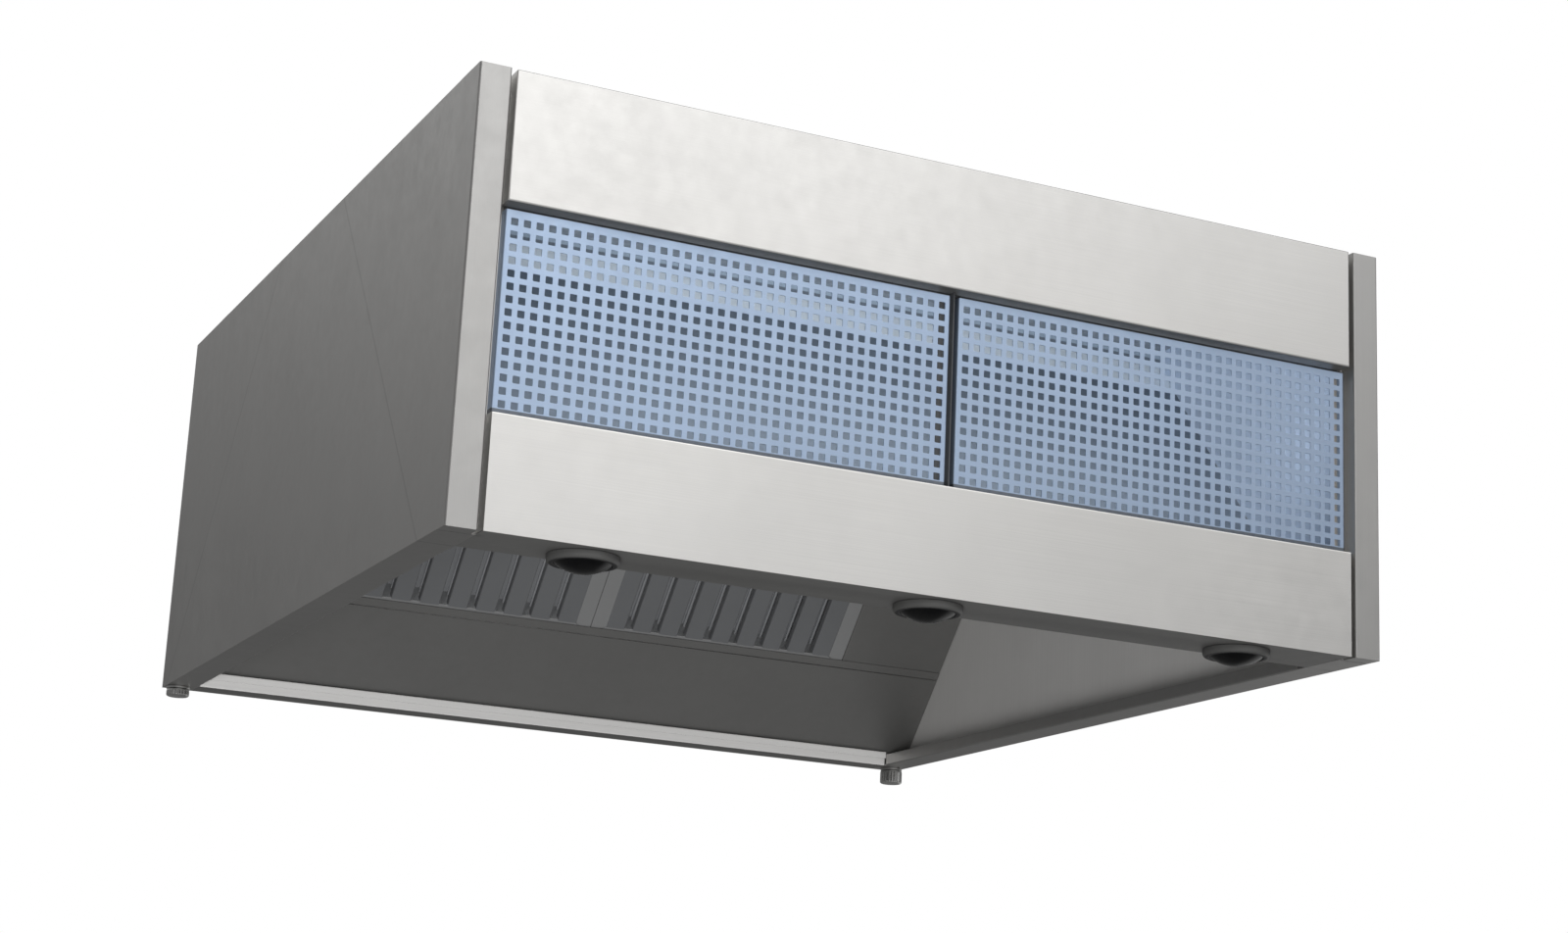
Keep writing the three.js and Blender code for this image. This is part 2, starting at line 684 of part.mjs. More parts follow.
// A drain boss hangs from the channel in each rear corner. The right one drains, the left one is plugged.
function drainFitting(side, bossName, capName, capRadius, capHeight) {
  const fitting = new THREE.Group();
  fitting.position.set(side * DRAIN_X, DRAIN_Y, 0);
  body.add(fitting);
  const boss = [
    [8, -10],
    [12.5, -10],
    [12.5, -4],
    [20, -4],
    [20, -GAP],
    [11, -GAP],
    [11, 4],
    [8, 4],
    [8, -10],
  ];
  const capTop = -5;
  const capFloor = -11.5;
  const capBase = capTop - capHeight;
  const cap = [
    [0, capBase],
    [capRadius - 2, capBase],
    [capRadius, capBase + 2],
    [capRadius, capTop],
    [13.5, capTop],
    [13.5, capFloor],
    [0, capFloor],
  ];
  place(fitting, bossName, revolved(boss), polished);
  place(fitting, capName, revolved(cap, 20), polished);
}

drainFitting(1, 'drain_boss', 'drain_cap', 20.5, 24);
drainFitting(-1, 'plug_boss', 'plug_cap', 19, 12);

const seal = new THREE.Group();
seal.position.set(DRAIN_X, DRAIN_Y, 0);
body.add(seal);
const sealProfile = [
  [8.5, -11.2],
  [12, -11.2],
  [12, -10.3],
  [8.5, -10.3],
  [8.5, -11.2],
];
place(seal, 'drain_seal', revolved(sealProfile), cableBlack);

// ---------------------------------------------------------------- filter bank

const apron = block(-innerHalf, innerHalf, 0, SHEET, APRON_START, FILTER_LEDGE - GAP);
place(bank, 'exhaust_apron', apron, insideSteel);

const ledge = folded([
  [0, FILTER_LEDGE + LEDGE_LIP],
  [0, FILTER_LEDGE],
  [BANK_DEPTH, FILTER_LEDGE],
  [BANK_DEPTH, FILTER_LEDGE + LEDGE_LIP],
]);
place(bank, 'filter_ledge', alongX(ledge, -innerHalf, innerHalf), insideSteel);

const HEAD_SKIRT = 30;
const headHook = folded([
  [BANK_DEPTH, HEAD_WEB - HEAD_SKIRT],
  [BANK_DEPTH, HEAD_WEB + SHEET],
  [SHEET / 2, HEAD_WEB + SHEET],
]);
const head = shaped([
  block(-innerHalf, innerHalf, 0, SHEET, HEAD_LIP_START, HEAD_END),
  alongX(headHook, -innerHalf, innerHalf),
]);
place(bank, 'filter_head_channel', head, insideSteel);

const filterBase = FILTER_LEDGE + SHEET + GAP;
const blankFace = SHEET + GAP;
const BLANK_RETURN = 45;
for (const [name, side] of sides) {
  const plan = folded([
    [FILTER_SIZE + GAP, BLANK_RETURN],
    [FILTER_SIZE + GAP, blankFace],
    [innerHalf, blankFace],
  ]);
  const signed = plan.map(([x, y]) => [side * x, y]);
  place(bank, `${name}_blanking_panel`, alongZ(signed, filterBase, HEAD_WEB - GAP), insideSteel);
}

// A filter is a square frame holding two rows of upright baffles that face each other and overlap.
const handleSpan = BAFFLE_PITCH;
const handleBaffles = [-2, 2];
const pivotY = FILTER_FACE - HANDLE_PIVOT_OUT;
const filterMiddle = FILTER_SIZE / 2;
const pivotZ = filterBase + filterMiddle;

function baffle(centre, front) {
  const half = BAFFLE_WIDTH / 2;
  const faceY = front ? FILTER_FACE : FILTER_FACE + FILTER_DEPTH;
  const rimY = front ? faceY + BAFFLE_DEPTH : faceY - BAFFLE_DEPTH;
  const turn = front ? 1 : -1;
  const corners = [
    [centre - half * turn, rimY],
    [centre - half * turn, faceY],
    [centre + half * turn, faceY],
    [centre + half * turn, rimY],
  ];
  const end = FILTER_BORDER - 3;
  return alongZ(folded(corners), filterBase + end, filterBase + FILTER_SIZE - end);
}

function baffleFilter(centre) {
  const half = FILTER_SIZE / 2 - GAP;
  const top = filterBase + FILTER_SIZE;
  const back = FILTER_FACE + FILTER_DEPTH;
  const opening = ((FRONT_BAFFLES - 1) / 2) * BAFFLE_PITCH + BAFFLE_WIDTH / 2 - 2 * SHEET;
  const frame = toSolid(block(centre - half, centre + half, FILTER_FACE, back, filterBase, top)).subtract(
    toSolid(block(centre - opening, centre + opening, FILTER_FACE - OVERRUN, back + OVERRUN,
      filterBase + FILTER_BORDER, top - FILTER_BORDER)),
  );
  const fronts = Array.from({ length: FRONT_BAFFLES }, (_, i) => i - (FRONT_BAFFLES - 1) / 2);
  const rears = fronts.slice(1).map((i) => i - 0.5);
  const pieces = [
    ...fronts.map((i) => baffle(centre + i * BAFFLE_PITCH, true)),
    ...rears.map((i) => baffle(centre + i * BAFFLE_PITCH, false)),
  ];
  for (const i of handleBaffles) {
    for (const side of [-1, 1]) {
      const x = centre + i * BAFFLE_PITCH + side * handleSpan;
      pieces.push(block(x - LUG.halfWidth, x + LUG.halfWidth, pivotY - LUG.out, FILTER_FACE + 1,
        pivotZ - LUG.halfHeight, pivotZ + LUG.halfHeight));
    }
  }
  let solid = frame;
  for (const geometry of pieces) {
    solid = solid.add(toSolid(geometry));
  }
  solid = solid.subtract(
    toSolid(rod(HANDLE_WIRE + 0.5, [centre - half, pivotY, pivotZ], [centre + half, pivotY, pivotZ], 12)),
  );
  return toGeometry(solid);
}

// A wire bail whose inturned ends pass through the lugs. It hangs straight down under its own weight.
function bail() {
  const reach = handleSpan + LUG.halfWidth + HANDLE_WIRE + 2;
  const pinEnd = handleSpan - LUG.halfWidth - 2;
  const corner = reach + HANDLE_WIRE;
  const foot = -HANDLE_DROP - HANDLE_WIRE;
  const parts = [rod(HANDLE_WIRE, [-corner, 0, -HANDLE_DROP], [corner, 0, -HANDLE_DROP])];
  for (const side of [-1, 1]) {
    parts.push(rod(HANDLE_WIRE, [side * reach, 0, foot], [side * reach, 0, HANDLE_WIRE]));
    parts.push(rod(HANDLE_WIRE, [side * corner, 0, 0], [side * pinEnd, 0, 0]));
  }
  return shaped(parts);
}

for (const [name, side] of sides) {
  const centre = (side * FILTER_SIZE) / 2;
  place(bank, `${name}_filter`, baffleFilter(centre), filterSteel);
  handleBaffles.forEach((i, index) => {
    const pivot = new THREE.Group();
    pivot.position.set(centre + i * BAFFLE_PITCH, pivotY, pivotZ);
    pivot.rotation.x = -bankLean;
    bank.add(pivot);
    place(pivot, `${name}_filter_handle_${index + 1}`, bail(), polished);
  });
}

export default canopy;
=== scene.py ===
"""Looks of the wall-type extraction canopy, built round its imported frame. Metres, +Z up, front towards -Y."""

import json
import math

import bmesh
import bpy
from mathutils import Matrix, Vector


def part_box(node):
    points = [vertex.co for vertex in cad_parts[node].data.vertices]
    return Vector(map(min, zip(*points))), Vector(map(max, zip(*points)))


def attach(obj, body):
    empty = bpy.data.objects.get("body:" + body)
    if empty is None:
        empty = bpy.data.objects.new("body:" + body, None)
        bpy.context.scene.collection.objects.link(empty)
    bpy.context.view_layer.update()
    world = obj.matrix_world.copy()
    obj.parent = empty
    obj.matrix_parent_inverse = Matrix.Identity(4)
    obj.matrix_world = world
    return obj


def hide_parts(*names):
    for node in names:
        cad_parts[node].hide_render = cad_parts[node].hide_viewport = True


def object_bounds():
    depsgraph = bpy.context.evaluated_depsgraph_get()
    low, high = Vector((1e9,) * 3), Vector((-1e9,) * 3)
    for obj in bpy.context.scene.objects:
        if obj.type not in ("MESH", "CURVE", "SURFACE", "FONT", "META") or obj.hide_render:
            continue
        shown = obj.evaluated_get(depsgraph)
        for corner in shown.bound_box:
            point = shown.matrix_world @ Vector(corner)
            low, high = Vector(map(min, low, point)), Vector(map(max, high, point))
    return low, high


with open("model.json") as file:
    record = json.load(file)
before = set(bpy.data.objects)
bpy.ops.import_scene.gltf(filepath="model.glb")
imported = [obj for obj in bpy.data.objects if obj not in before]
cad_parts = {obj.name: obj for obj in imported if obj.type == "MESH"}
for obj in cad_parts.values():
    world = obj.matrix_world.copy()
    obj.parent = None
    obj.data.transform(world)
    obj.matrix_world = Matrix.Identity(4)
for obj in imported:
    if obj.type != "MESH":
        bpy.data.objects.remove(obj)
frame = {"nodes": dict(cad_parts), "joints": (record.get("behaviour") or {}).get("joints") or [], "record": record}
cad_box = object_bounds()

MM = 0.001
SHEET = 1.5 * MM
BEND = 2.2 * MM
TIGHT_BEND = 0.6 * MM
CORNER_BEND = 3.2 * MM
DEBURR = 0.25 * MM
SEAM = 0.3 * MM
WELD = 0.02 * MM
FACET_ANGLE = math.radians(0.6)

nodes = frame["nodes"]
joints = {joint["name"]: joint for joint in frame["joints"]}
body_of_node = {n: body for body, names in frame["record"]["behaviour"]["bodies"].items() for n in names}
slot_of_node = {row["node"]: row["material_slot"] for row in frame["record"]["subparts"]}


def add_object(name, data):
    made = bpy.data.objects.new(name, data)
    bpy.context.scene.collection.objects.link(made)
    return made


# ---------------- node trees

class Tree:
    """A material's or world's node tree, with short calls that add a node and link its inputs."""

    def __init__(self, owner):
        owner.use_nodes = True
        self.tree = owner.node_tree
        self.tree.nodes.clear()

    def add(self, kind, inputs=None, **settings):
        node = self.tree.nodes.new(kind)
        for name, value in settings.items():
            setattr(node, name, value)
        for name, value in (inputs or {}).items():
            if isinstance(value, bpy.types.NodeSocket):
                self.tree.links.new(value, node.inputs[name])
            else:
                node.inputs[name].default_value = value
        return node

    def math(self, operation, a, b=0.0):
        return self.add("ShaderNodeMath", {0: a, 1: b}, operation=operation).outputs[0]

    def vector(self, operation, a, b):
        node = self.add("ShaderNodeVectorMath", {0: a, 1: b}, operation=operation)
        return node.outputs["Value" if operation in ("DOT_PRODUCT", "DISTANCE") else "Vector"]

    def remap(self, value, low, high, to_low=0.0, to_high=1.0, kind="LINEAR"):
        inputs = {"Value": value, "From Min": low, "From Max": high, "To Min": to_low, "To Max": to_high}
        return self.add("ShaderNodeMapRange", inputs, interpolation_type=kind, clamp=True).outputs[0]

    def mix(self, share, a, b, blend="MIX"):
        return self.add("ShaderNodeMix", {0: share, 6: a, 7: b}, data_type="RGBA", blend_type=blend).outputs[2]

    def combined(self, red, green, blue):
        return self.add("ShaderNodeCombineColor", {0: red, 1: green, 2: blue}).outputs[0]

    def place(self):
        return self.add("ShaderNodeTexCoord").outputs["Object"]

    def height(self):
        return self.add("ShaderNodeSeparateXYZ", {0: self.place()}).outputs["Z"]

    def normal(self):
        return self.add("ShaderNodeNewGeometry").outputs["True Normal"]

    def facing(self, direction, low, high):
        """0 to 1 as the cosine between the surface's normal and a direction goes from low to high."""
        return self.remap(self.vector("DOT_PRODUCT", self.normal(), direction), low, high)

    def worn_edge(self, full, strength):
        """A share that grows along convex edges, where hands and cloths rub."""
        pointiness = self.add("ShaderNodeNewGeometry").outputs["Pointiness"]
        return self.remap(pointiness, 0.5, full, 0.0, strength)

    def noise(self, *cells, detail=3.0, roughness=0.5):
        """Noise with the given number of cells a metre along x, y and z, or one number for all three."""
        scale = cells if len(cells) == 3 else cells * 3
        place = self.vector("MULTIPLY", self.place(), scale)
        inputs = {"Vector": place, "Scale": 1.0, "Detail": detail, "Roughness": roughness}
        return self.add("ShaderNodeTexNoise", inputs).outputs["Fac"]

    def surface(self, colour, roughness, metallic, bump, strength=0.1, depth=0.2 * MM, **extra):
        relief = self.add("ShaderNodeBump", {"Height": bump, "Strength": strength, "Distance": depth})
        inputs = {"Base Color": colour, "Roughness": roughness, "Metallic": metallic,
                  "Normal": relief.outputs["Normal"], **extra}
        shader = self.add("ShaderNodeBsdfPrincipled", inputs)
        self.add("ShaderNodeOutputMaterial", {"Surface": shader.outputs["BSDF"]})

    def blend(self, output, share, one, two):
        mixed = self.add("ShaderNodeMixShader", {0: share, 1: one.outputs[0], 2: two.outputs[0]})
        self.add(output, {"Surface": mixed.outputs[0]})


def rgb(r, g, b):
    return (r, g, b, 1.0)


def grey(level):
    return rgb(level, level, level)


def new_tree(name):
    material = bpy.data.materials.new(name)
    return material, Tree(material)


def node_material(build):
    """Turns a function into the material whose tree it builds."""
    material, tree = new_tree(build.__name__)
    build(tree)
    return material


# ---------------- materials

GRAIN_ALONG, GRAIN_ACROSS = 3.0, 900.0
FASCIA_STEEL = rgb(0.80, 0.79, 0.77)
# Painted shade on the fascias: a thin dark line along the fold to the roof, and the dark of their down-facing
# faces.
PAINTED_FOLD_SHADE = rgb(0.20, 0.198, 0.195)
PAINTED_UNDERSIDE_SHADE = rgb(0.06, 0.062, 0.065)
END_STEEL = rgb(0.50, 0.494, 0.484)
INNER_STEEL = rgb(0.192, 0.190, 0.186)
LINER_STEEL = rgb(0.74, 0.73, 0.715)
# Painted shade: a much darker copy of the satin steel, for the down-facing soffit and the gutter floor.
SHADED_SOFFIT_STEEL = rgb(0.178, 0.176, 0.172)
FILTER_STEEL = rgb(0.225, 0.233, 0.248)
# Painted light: a lighter copy of the filter steel for the rear baffles, so the slots between the front baffles
# read lighter.
LIT_FILTER_REAR_STEEL = rgb(0.34, 0.35, 0.37)
FILTER_FRAME_STEEL = rgb(0.40, 0.405, 0.41)
# A painted highlight: the near white of the gutter lip where it faces the front light.
PAINTED_LIP_HIGHLIGHT = rgb(1.0, 0.99, 0.975)
WORN_STEEL = rgb(0.9, 0.9, 0.88)
BLUE_FILM = rgb(0.39, 0.51, 0.70)
# Painted light and shade on the plenum's film: shaded slope and shadow line, a half-shaded top and a lit band.
SHADED_FILM = rgb(0.085, 0.125, 0.18)
HALF_SHADED_FILM = rgb(0.26, 0.36, 0.48)
PAINTED_LIT_FILM = rgb(0.78, 0.89, 1.0)
# Painted shade: the near black along the top and the foot of the perforated panels.
PAINTED_EDGE_SHADE = rgb(0.045, 0.05, 0.058)


def brushed(tree, colour, roughness, metallic, axis, stain=0.06, relief=None, shade=None):
    """Satin-finished sheet: fine grain along one axis, cloudy handling marks and bright worn edges."""
    grain = tree.noise(*(GRAIN_ALONG if name == axis else GRAIN_ACROSS for name in "xyz"), detail=2.0)
    cloud = tree.noise(5.0, detail=4.0, roughness=0.6)
    scuff = tree.noise(38.0, detail=5.0, roughness=0.7)
    level = tree.math("ADD", tree.remap(grain, 0.3, 0.7, 0.965, 1.03),
                      tree.remap(cloud, 0.3, 0.7, -stain / 2, stain / 2))
    if shade is not None:
        level = tree.math("MULTIPLY", level, shade)
    tone = tree.mix(1.0, colour, tree.combined(level, level, level), "MULTIPLY")
    tone = tree.mix(tree.worn_edge(0.56, 0.10), tone, WORN_STEEL)
    rough = tree.math("ADD", tree.remap(grain, 0.3, 0.7, roughness - 0.04, roughness + 0.04),
                      tree.remap(scuff, 0.35, 0.7, -0.03, 0.07))
    height = grain if relief is None else tree.math("ADD", grain, relief)
    tree.surface(tone, rough, metallic, height, strength=0.12, depth=0.05 * MM)


def plain_steel(name, colour, roughness=0.5, axis="x", metallic=0.6, stain=0.1):
    material, tree = new_tree(name)
    brushed(tree, colour, roughness, metallic, axis, stain)
    return material


@node_material
def fascia_steel(tree):
    """Satin in front. Every down-facing face of the returns is painted dark and dull, as painted shade under the
    returns, and a thin line of painted shade runs along the fold to the roof."""
    # Painted shade: down-facing faces go dark and dull, and a thin band just under the top edge goes dark along
    # the fold.
    under = tree.facing((0.0, 0.0, -1.0), 0.8, 0.95)
    _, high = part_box("top_fascia")
    fold = tree.remap(tree.height(), high.z - 1.9 * MM, high.z - 1.4 * MM)
    colour = tree.mix(under, tree.mix(fold, FASCIA_STEEL, PAINTED_FOLD_SHADE), PAINTED_UNDERSIDE_SHADE)
    brushed(tree, colour, 0.36, tree.remap(under, 0.0, 1.0, 0.92, 0.2), "x")


@node_material
def gutter_steel(tree):
    """The gutter's front-facing lip is painted near white and matt, a painted highlight. Its floor is dull, in the
    soffit's painted-shade tone.
    """
    # Painted highlight on the faces turned to the front.
    lip = tree.facing((0.0, -1.0, 0.0), 0.2, 0.5)
    colour = tree.mix(lip, SHADED_SOFFIT_STEEL, PAINTED_LIP_HIGHLIGHT)
    brushed(tree, colour, 0.4, tree.remap(lip, 0.0, 1.0, 0.5, 0.0), "x", stain=0.03)


def line_offset(tree, start, end):
    """Signed distance, in the YZ plane, from the line through two points. It is positive behind the line."""
    along = Vector((0.0, end[0] - start[0], end[1] - start[1])).normalized()
    normal = (0.0, along.z, -along.y)
    offset = start[0] * normal[1] + start[1] * normal[2]
    return tree.math("SUBTRACT", tree.vector("DOT_PRODUCT", tree.place(), normal), offset)


@node_material
def end_panel_steel(tree):
    """Satin outside with a faint line along each spot-welded inner sheet. The inside is duller, and wears blue
    film where it closes the fresh-air chamber."""
    plenum_low, plenum_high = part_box("plenum_back")
    apron_low, apron_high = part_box("exhaust_apron")
    head_low, head_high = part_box("filter_head_channel")
    head_fold = 35 * MM
    chamber = line_offset(tree, (plenum_low.y, plenum_low.z), (plenum_high.y, plenum_high.z - head_fold))
    bank = line_offset(tree, (apron_high.y, apron_low.z), (head_low.y, head_high.z))
    faint = 0.82
    lines = [tree.remap(tree.math("ABSOLUTE", away), 0.5 * MM, 3.2 * MM, faint, 1.0, "SMOOTHSTEP")
             for away in (chamber, bank)]
    seams = tree.math("MULTIPLY", lines[0], lines[1])
    sideways = tree.vector("MULTIPLY", tree.normal(), (1.0, 0.0, 0.0))
    wall = max(abs(corner.x) for corner in cad_box) - 10 * MM
    outward = tree.vector("DOT_PRODUCT", sideways, tree.place())
    inside = tree.remap(outward, -wall, 20 * MM - wall, 1.0, 0.0)
    in_chamber = tree.remap(chamber, -2 * MM, 2 * MM, 1.0, 0.0)
    colour = tree.mix(inside, END_STEEL, tree.mix(in_chamber, LINER_STEEL, BLUE_FILM))
    metallic = tree.remap(inside, 0.0, 1.0, 0.95, 0.25)
    dip = tree.remap(seams, faint, 1.0, 0.0, 0.6)
    brushed(tree, colour, 0.40, metallic, "z", relief=dip, shade=seams)


@node_material
def filmed_sheet(tree):
    """Perforated sheet still wearing its pale blue protective film. Near its top and its foot it is painted dark,
    as painted shade.
    """
    low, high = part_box("left_perforated_panel")
    # Painted shade at the top and, a little less dark, at the foot.
    above = tree.remap(tree.height(), high.z - 13 * MM, high.z - 12 * MM)
    below = tree.remap(tree.height(), low.z + 11 * MM, low.z + 12 * MM, 0.85, 0.0)
    colour = tree.mix(tree.math("MAXIMUM", above, below), BLUE_FILM, PAINTED_EDGE_SHADE)
    brushed(tree, colour, 0.36, 0.9, "x", stain=0.08)


@node_material
def plenum_steel(tree):
    """Inner sheet, bare towards the fumes. Towards the fresh-air chamber it wears blue film, in painted light and
    shade: shaded down the slope, a painted lit strip along its head, a painted shadow line above it and a
    half-shaded top."""
    slope_normal = (0.0, -0.777, 0.63)
    filmed = tree.facing(slope_normal, -0.2, 0.2)
    _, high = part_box("plenum_back")
    # The film's painted light and shade by height: a lit band, a shadow line above it, and a half-shaded top.
    foot = tree.remap(tree.height(), high.z - 79 * MM, high.z - 75 * MM)
    top = tree.remap(tree.height(), high.z - 22 * MM, high.z - 21 * MM, 1.0, 0.0)
    over = tree.remap(tree.height(), high.z - 16 * MM, high.z - 15 * MM)
    film = tree.mix(over, SHADED_FILM, HALF_SHADED_FILM)
    film = tree.mix(tree.math("MULTIPLY", foot, top), film, PAINTED_LIT_FILM)
    brushed(tree, tree.mix(filmed, INNER_STEEL, film), 0.45, 0.15, "x", stain=0.08)


@node_material
def galvanised_steel(tree):
    """Hot-dip zinc: spangle of about a centimetre, with a slightly different tone and shine to each crystal."""
    place = tree.vector("MULTIPLY", tree.place(), (95.0, 95.0, 95.0))
    wobble = tree.add("ShaderNodeTexNoise", {"Vector": place, "Scale": 1.2, "Detail": 2.0}).outputs["Color"]
    bent = tree.vector("ADD", place, wobble)
    cell = tree.add("ShaderNodeTexVoronoi", {"Vector": bent, "Scale": 1.0}).outputs["Color"]
    tone = tree.add("ShaderNodeSeparateColor", {0: cell}).outputs[0]
    streak = tree.noise(60.0, 300.0, 60.0, detail=3.0)
    level = tree.math("ADD", tree.remap(tone, 0.0, 1.0, 0.40, 0.58), tree.remap(streak, 0.3, 0.7, -0.03, 0.03))
    colour = tree.combined(level, tree.math("MULTIPLY", level, 1.01), tree.math("MULTIPLY", level, 1.03))
    tree.surface(colour, tree.remap(tone, 0.0, 1.0, 0.34, 0.56), 0.9, tone, strength=0.15, depth=0.05 * MM)


@node_material
def bright_steel(tree):
    """Polished steel with turning marks and smears."""
    turning = tree.noise(30.0, 30.0, 1600.0, detail=1.0)
    smear = tree.noise(70.0, detail=4.0)
    colour = tree.mix(tree.remap(smear, 0.4, 0.7), rgb(0.78, 0.78, 0.77), rgb(0.68, 0.67, 0.65))
    tree.surface(colour, tree.remap(smear, 0.3, 0.7, 0.16, 0.3), 1.0, turning, depth=0.03 * MM)


def painted(name, r, g, b, roughness=0.5):
    """Powder coat or moulded plastic: fine orange peel, dust in the hollows and rubbed edges."""
    material, tree = new_tree(name)
    peel = tree.noise(700.0, detail=2.0)
    dust = tree.noise(24.0, detail=5.0, roughness=0.65)
    dusty = rgb(r + 0.02, g + 0.02, b + 0.02)
    rubbed = rgb(r * 1.8 + 0.03, g * 1.8 + 0.03, b * 1.8 + 0.03)
    tone = tree.mix(tree.remap(dust, 0.45, 0.75), rgb(r, g, b), dusty)
    tone = tree.mix(tree.worn_edge(0.57, 0.3), tone, rubbed)
    rough = tree.remap(dust, 0.3, 0.7, roughness - 0.05, roughness + 0.1)
    tree.surface(tone, rough, 0.0, peel, strength=0.12, depth=0.06 * MM)
    return material


@node_material
def smoked_glass(tree):
    """Black glass dome with a thin film of grease that dulls it in patches."""
    grease = tree.noise(55.0, detail=4.0, roughness=0.6)
    colour = tree.mix(tree.remap(grease, 0.4, 0.75), rgb(0.003, 0.003, 0.0035), grey(0.007))
    rough = tree.remap(grease, 0.35, 0.7, 0.14, 0.3)
    tree.surface(colour, rough, 0.0, grease, strength=0.03, **{"IOR": 1.45, "Specular IOR Level": 0.2})


def bezel_paint(node):
    """A grey ring round a lamp, black on all of its underside but the rounded rim."""
    low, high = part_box(node)
    material, tree = new_tree(f"{node}_paint")
    flat = tree.vector("MULTIPLY", tree.place(), (1.0, 1.0, 0.0))
    away = tree.vector("DISTANCE", flat, ((low.x + high.x) / 2, (low.y + high.y) / 2, 0.0))
    black_reach = (high.x - low.x) / 2 * 0.93
    mottle = tree.noise(60.0, detail=3.0)
    ring = tree.mix(mottle, rgb(0.075, 0.075, 0.073), rgb(0.09, 0.09, 0.088))
    colour = tree.mix(tree.remap(away, black_reach - 1 * MM, black_reach), rgb(0.012, 0.012, 0.013), ring)
    tree.surface(colour, 0.5, 0.0, mottle, strength=0.04)
    return material


@node_material
def black_rubber(tree):
    bloom = tree.noise(120.0, detail=4.0)
    colour = tree.mix(tree.remap(bloom, 0.4, 0.7), rgb(0.02, 0.02, 0.021), rgb(0.045, 0.044, 0.043))
    tree.surface(colour, tree.remap(bloom, 0.3, 0.7, 0.55, 0.75), 0.0, bloom, strength=0.15)


@node_material
def lamp_white(tree):
    mottle = tree.noise(200.0, detail=2.0)
    colour = tree.mix(mottle, rgb(0.80, 0.79, 0.74), rgb(0.88, 0.87, 0.82))
    tree.surface(colour, 0.5, 0.0, mottle, strength=0.05)


# The rear baffles' lighter steel is painted light in the slots.
filter_rear = plain_steel("filter_rear_steel", LIT_FILTER_REAR_STEEL, 0.42, "z", metallic=0.4)
filter_frame_steel = plain_steel("filter_frame_steel", FILTER_FRAME_STEEL, 0.36, "z")
sealant = painted("sealant_grey", 0.42, 0.42, 0.41)

SLOT_MATERIALS = {
    "satin_steel": plain_steel("satin_steel", FASCIA_STEEL, 0.36, metallic=0.92, stain=0.06),
    "inner_steel": plain_steel("inner_steel", INNER_STEEL),
    "perforated_steel": filmed_sheet,
    "filter_steel": plain_steel("filter_steel", FILTER_STEEL, 0.45, "z"),
    "galvanised_steel": galvanised_steel,
    "bright_steel": bright_steel,
    "dark_trim": painted("dark_trim", 0.035, 0.038, 0.042),
    "lamp_black": painted("lamp_black", 0.02, 0.02, 0.022, roughness=0.4),
    "smoked_glass": smoked_glass,
    "lamp_white": lamp_white,
    "box_grey": painted("box_grey", 0.33, 0.34, 0.35),
    "black_rubber": black_rubber,
}
NODE_MATERIALS = {
    "top_fascia": fascia_steel,
    "bottom_fascia": fascia_steel,
    "left_end_panel": end_panel_steel,
    "right_end_panel": end_panel_steel,
    "plenum_back": plenum_steel,
    # The soffit wears a darkened copy of the satin steel: painted shade.
    "light_soffit": plain_steel("soffit_steel", SHADED_SOFFIT_STEEL, metallic=0.5),
    "rear_gutter": gutter_steel,
}
for bezel in ("left_light_bezel", "middle_light_bezel", "right_light_bezel"):
    NODE_MATERIALS[bezel] = bezel_paint(bezel)


def look_of(node):
    return NODE_MATERIALS.get(node) or SLOT_MATERIALS[slot_of_node[node]]


# ---------------- pieces

def add_weighted_normals(owner):
    modifier = owner.modifiers.new("flat_faces", "WEIGHTED_NORMAL")
    modifier.keep_sharp = True
    modifier.weight = 60


def mesh_object(name, bm, material):
    mesh = bpy.data.meshes.new(name)
    bm.to_mesh(mesh)
    bm.free()
    mesh.materials.append(material)
    return add_object(name, mesh)


def piece(name, bm, body, slot, material=None):
    """Turns a bmesh into a named piece that rides on a body."""
    bmesh.ops.recalc_face_normals(bm, faces=bm.faces)
    for face in bm.faces:
        face.smooth = True
        face.material_index = 0
    made = mesh_object(name, bm, material or SLOT_MATERIALS[slot])
    made.data.set_sharp_from_angle(angle=math.radians(40))
    add_weighted_normals(made)
    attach(made, body)
    return made


def stand_in(name, bm, node, material=None):
    """A piece that is shown in place of a CAD node."""
    made = piece(name, bm, body_of_node[node], slot_of_node[node], material or look_of(node))
    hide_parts(node)
    return made
    return made


def let_light_through(screen):
    """The studio light reaches what lies behind a pierced sheet or a row of baffles without losing itself."""
    screen.visible_diffuse = False
    screen.visible_glossy = False
    screen.visible_shadow = False


def circle(radius, sides):
    turns = (math.tau * k / sides for k in range(sides))
    return [Vector((radius * math.cos(turn), radius * math.sin(turn), 0.0)) for turn in turns]


def skin(bm, rings):
    """Faces between successive rings of vertices. A ring may be one vertex repeated."""
    faces = []
    for one, two in zip(rings, rings[1:]):
        for k in range(len(one)):
            after = (k + 1) % len(one)
            corners = list(dict.fromkeys((one[k], one[after], two[after], two[k])))
            if len(corners) > 2:
                faces.append(bm.faces.new(corners))
    return faces


def capped(bm, rings):
    """The same, with a face over the first and the last ring."""
    return skin(bm, rings) + [bm.faces.new(rings[0][::-1]), bm.faces.new(rings[-1])]


def prism(bm, outline, start, end, matrix=Matrix.Identity(4), bevel=0.0):
    """A closed (x, z) outline run through y from start to end, its edges rounded if a bevel is given."""
    rings = [[bm.verts.new(matrix @ Vector((x, y, z))) for x, z in outline] for y in (start, end)]
    faces = capped(bm, rings)
    if bevel:
        edges = list({edge for face in faces for edge in face.edges})
        bmesh.ops.bevel(bm, geom=edges, offset=bevel, offset_type="OFFSET", segments=2,
                        profile=0.5, affect="EDGES", clamp_overlap=True)


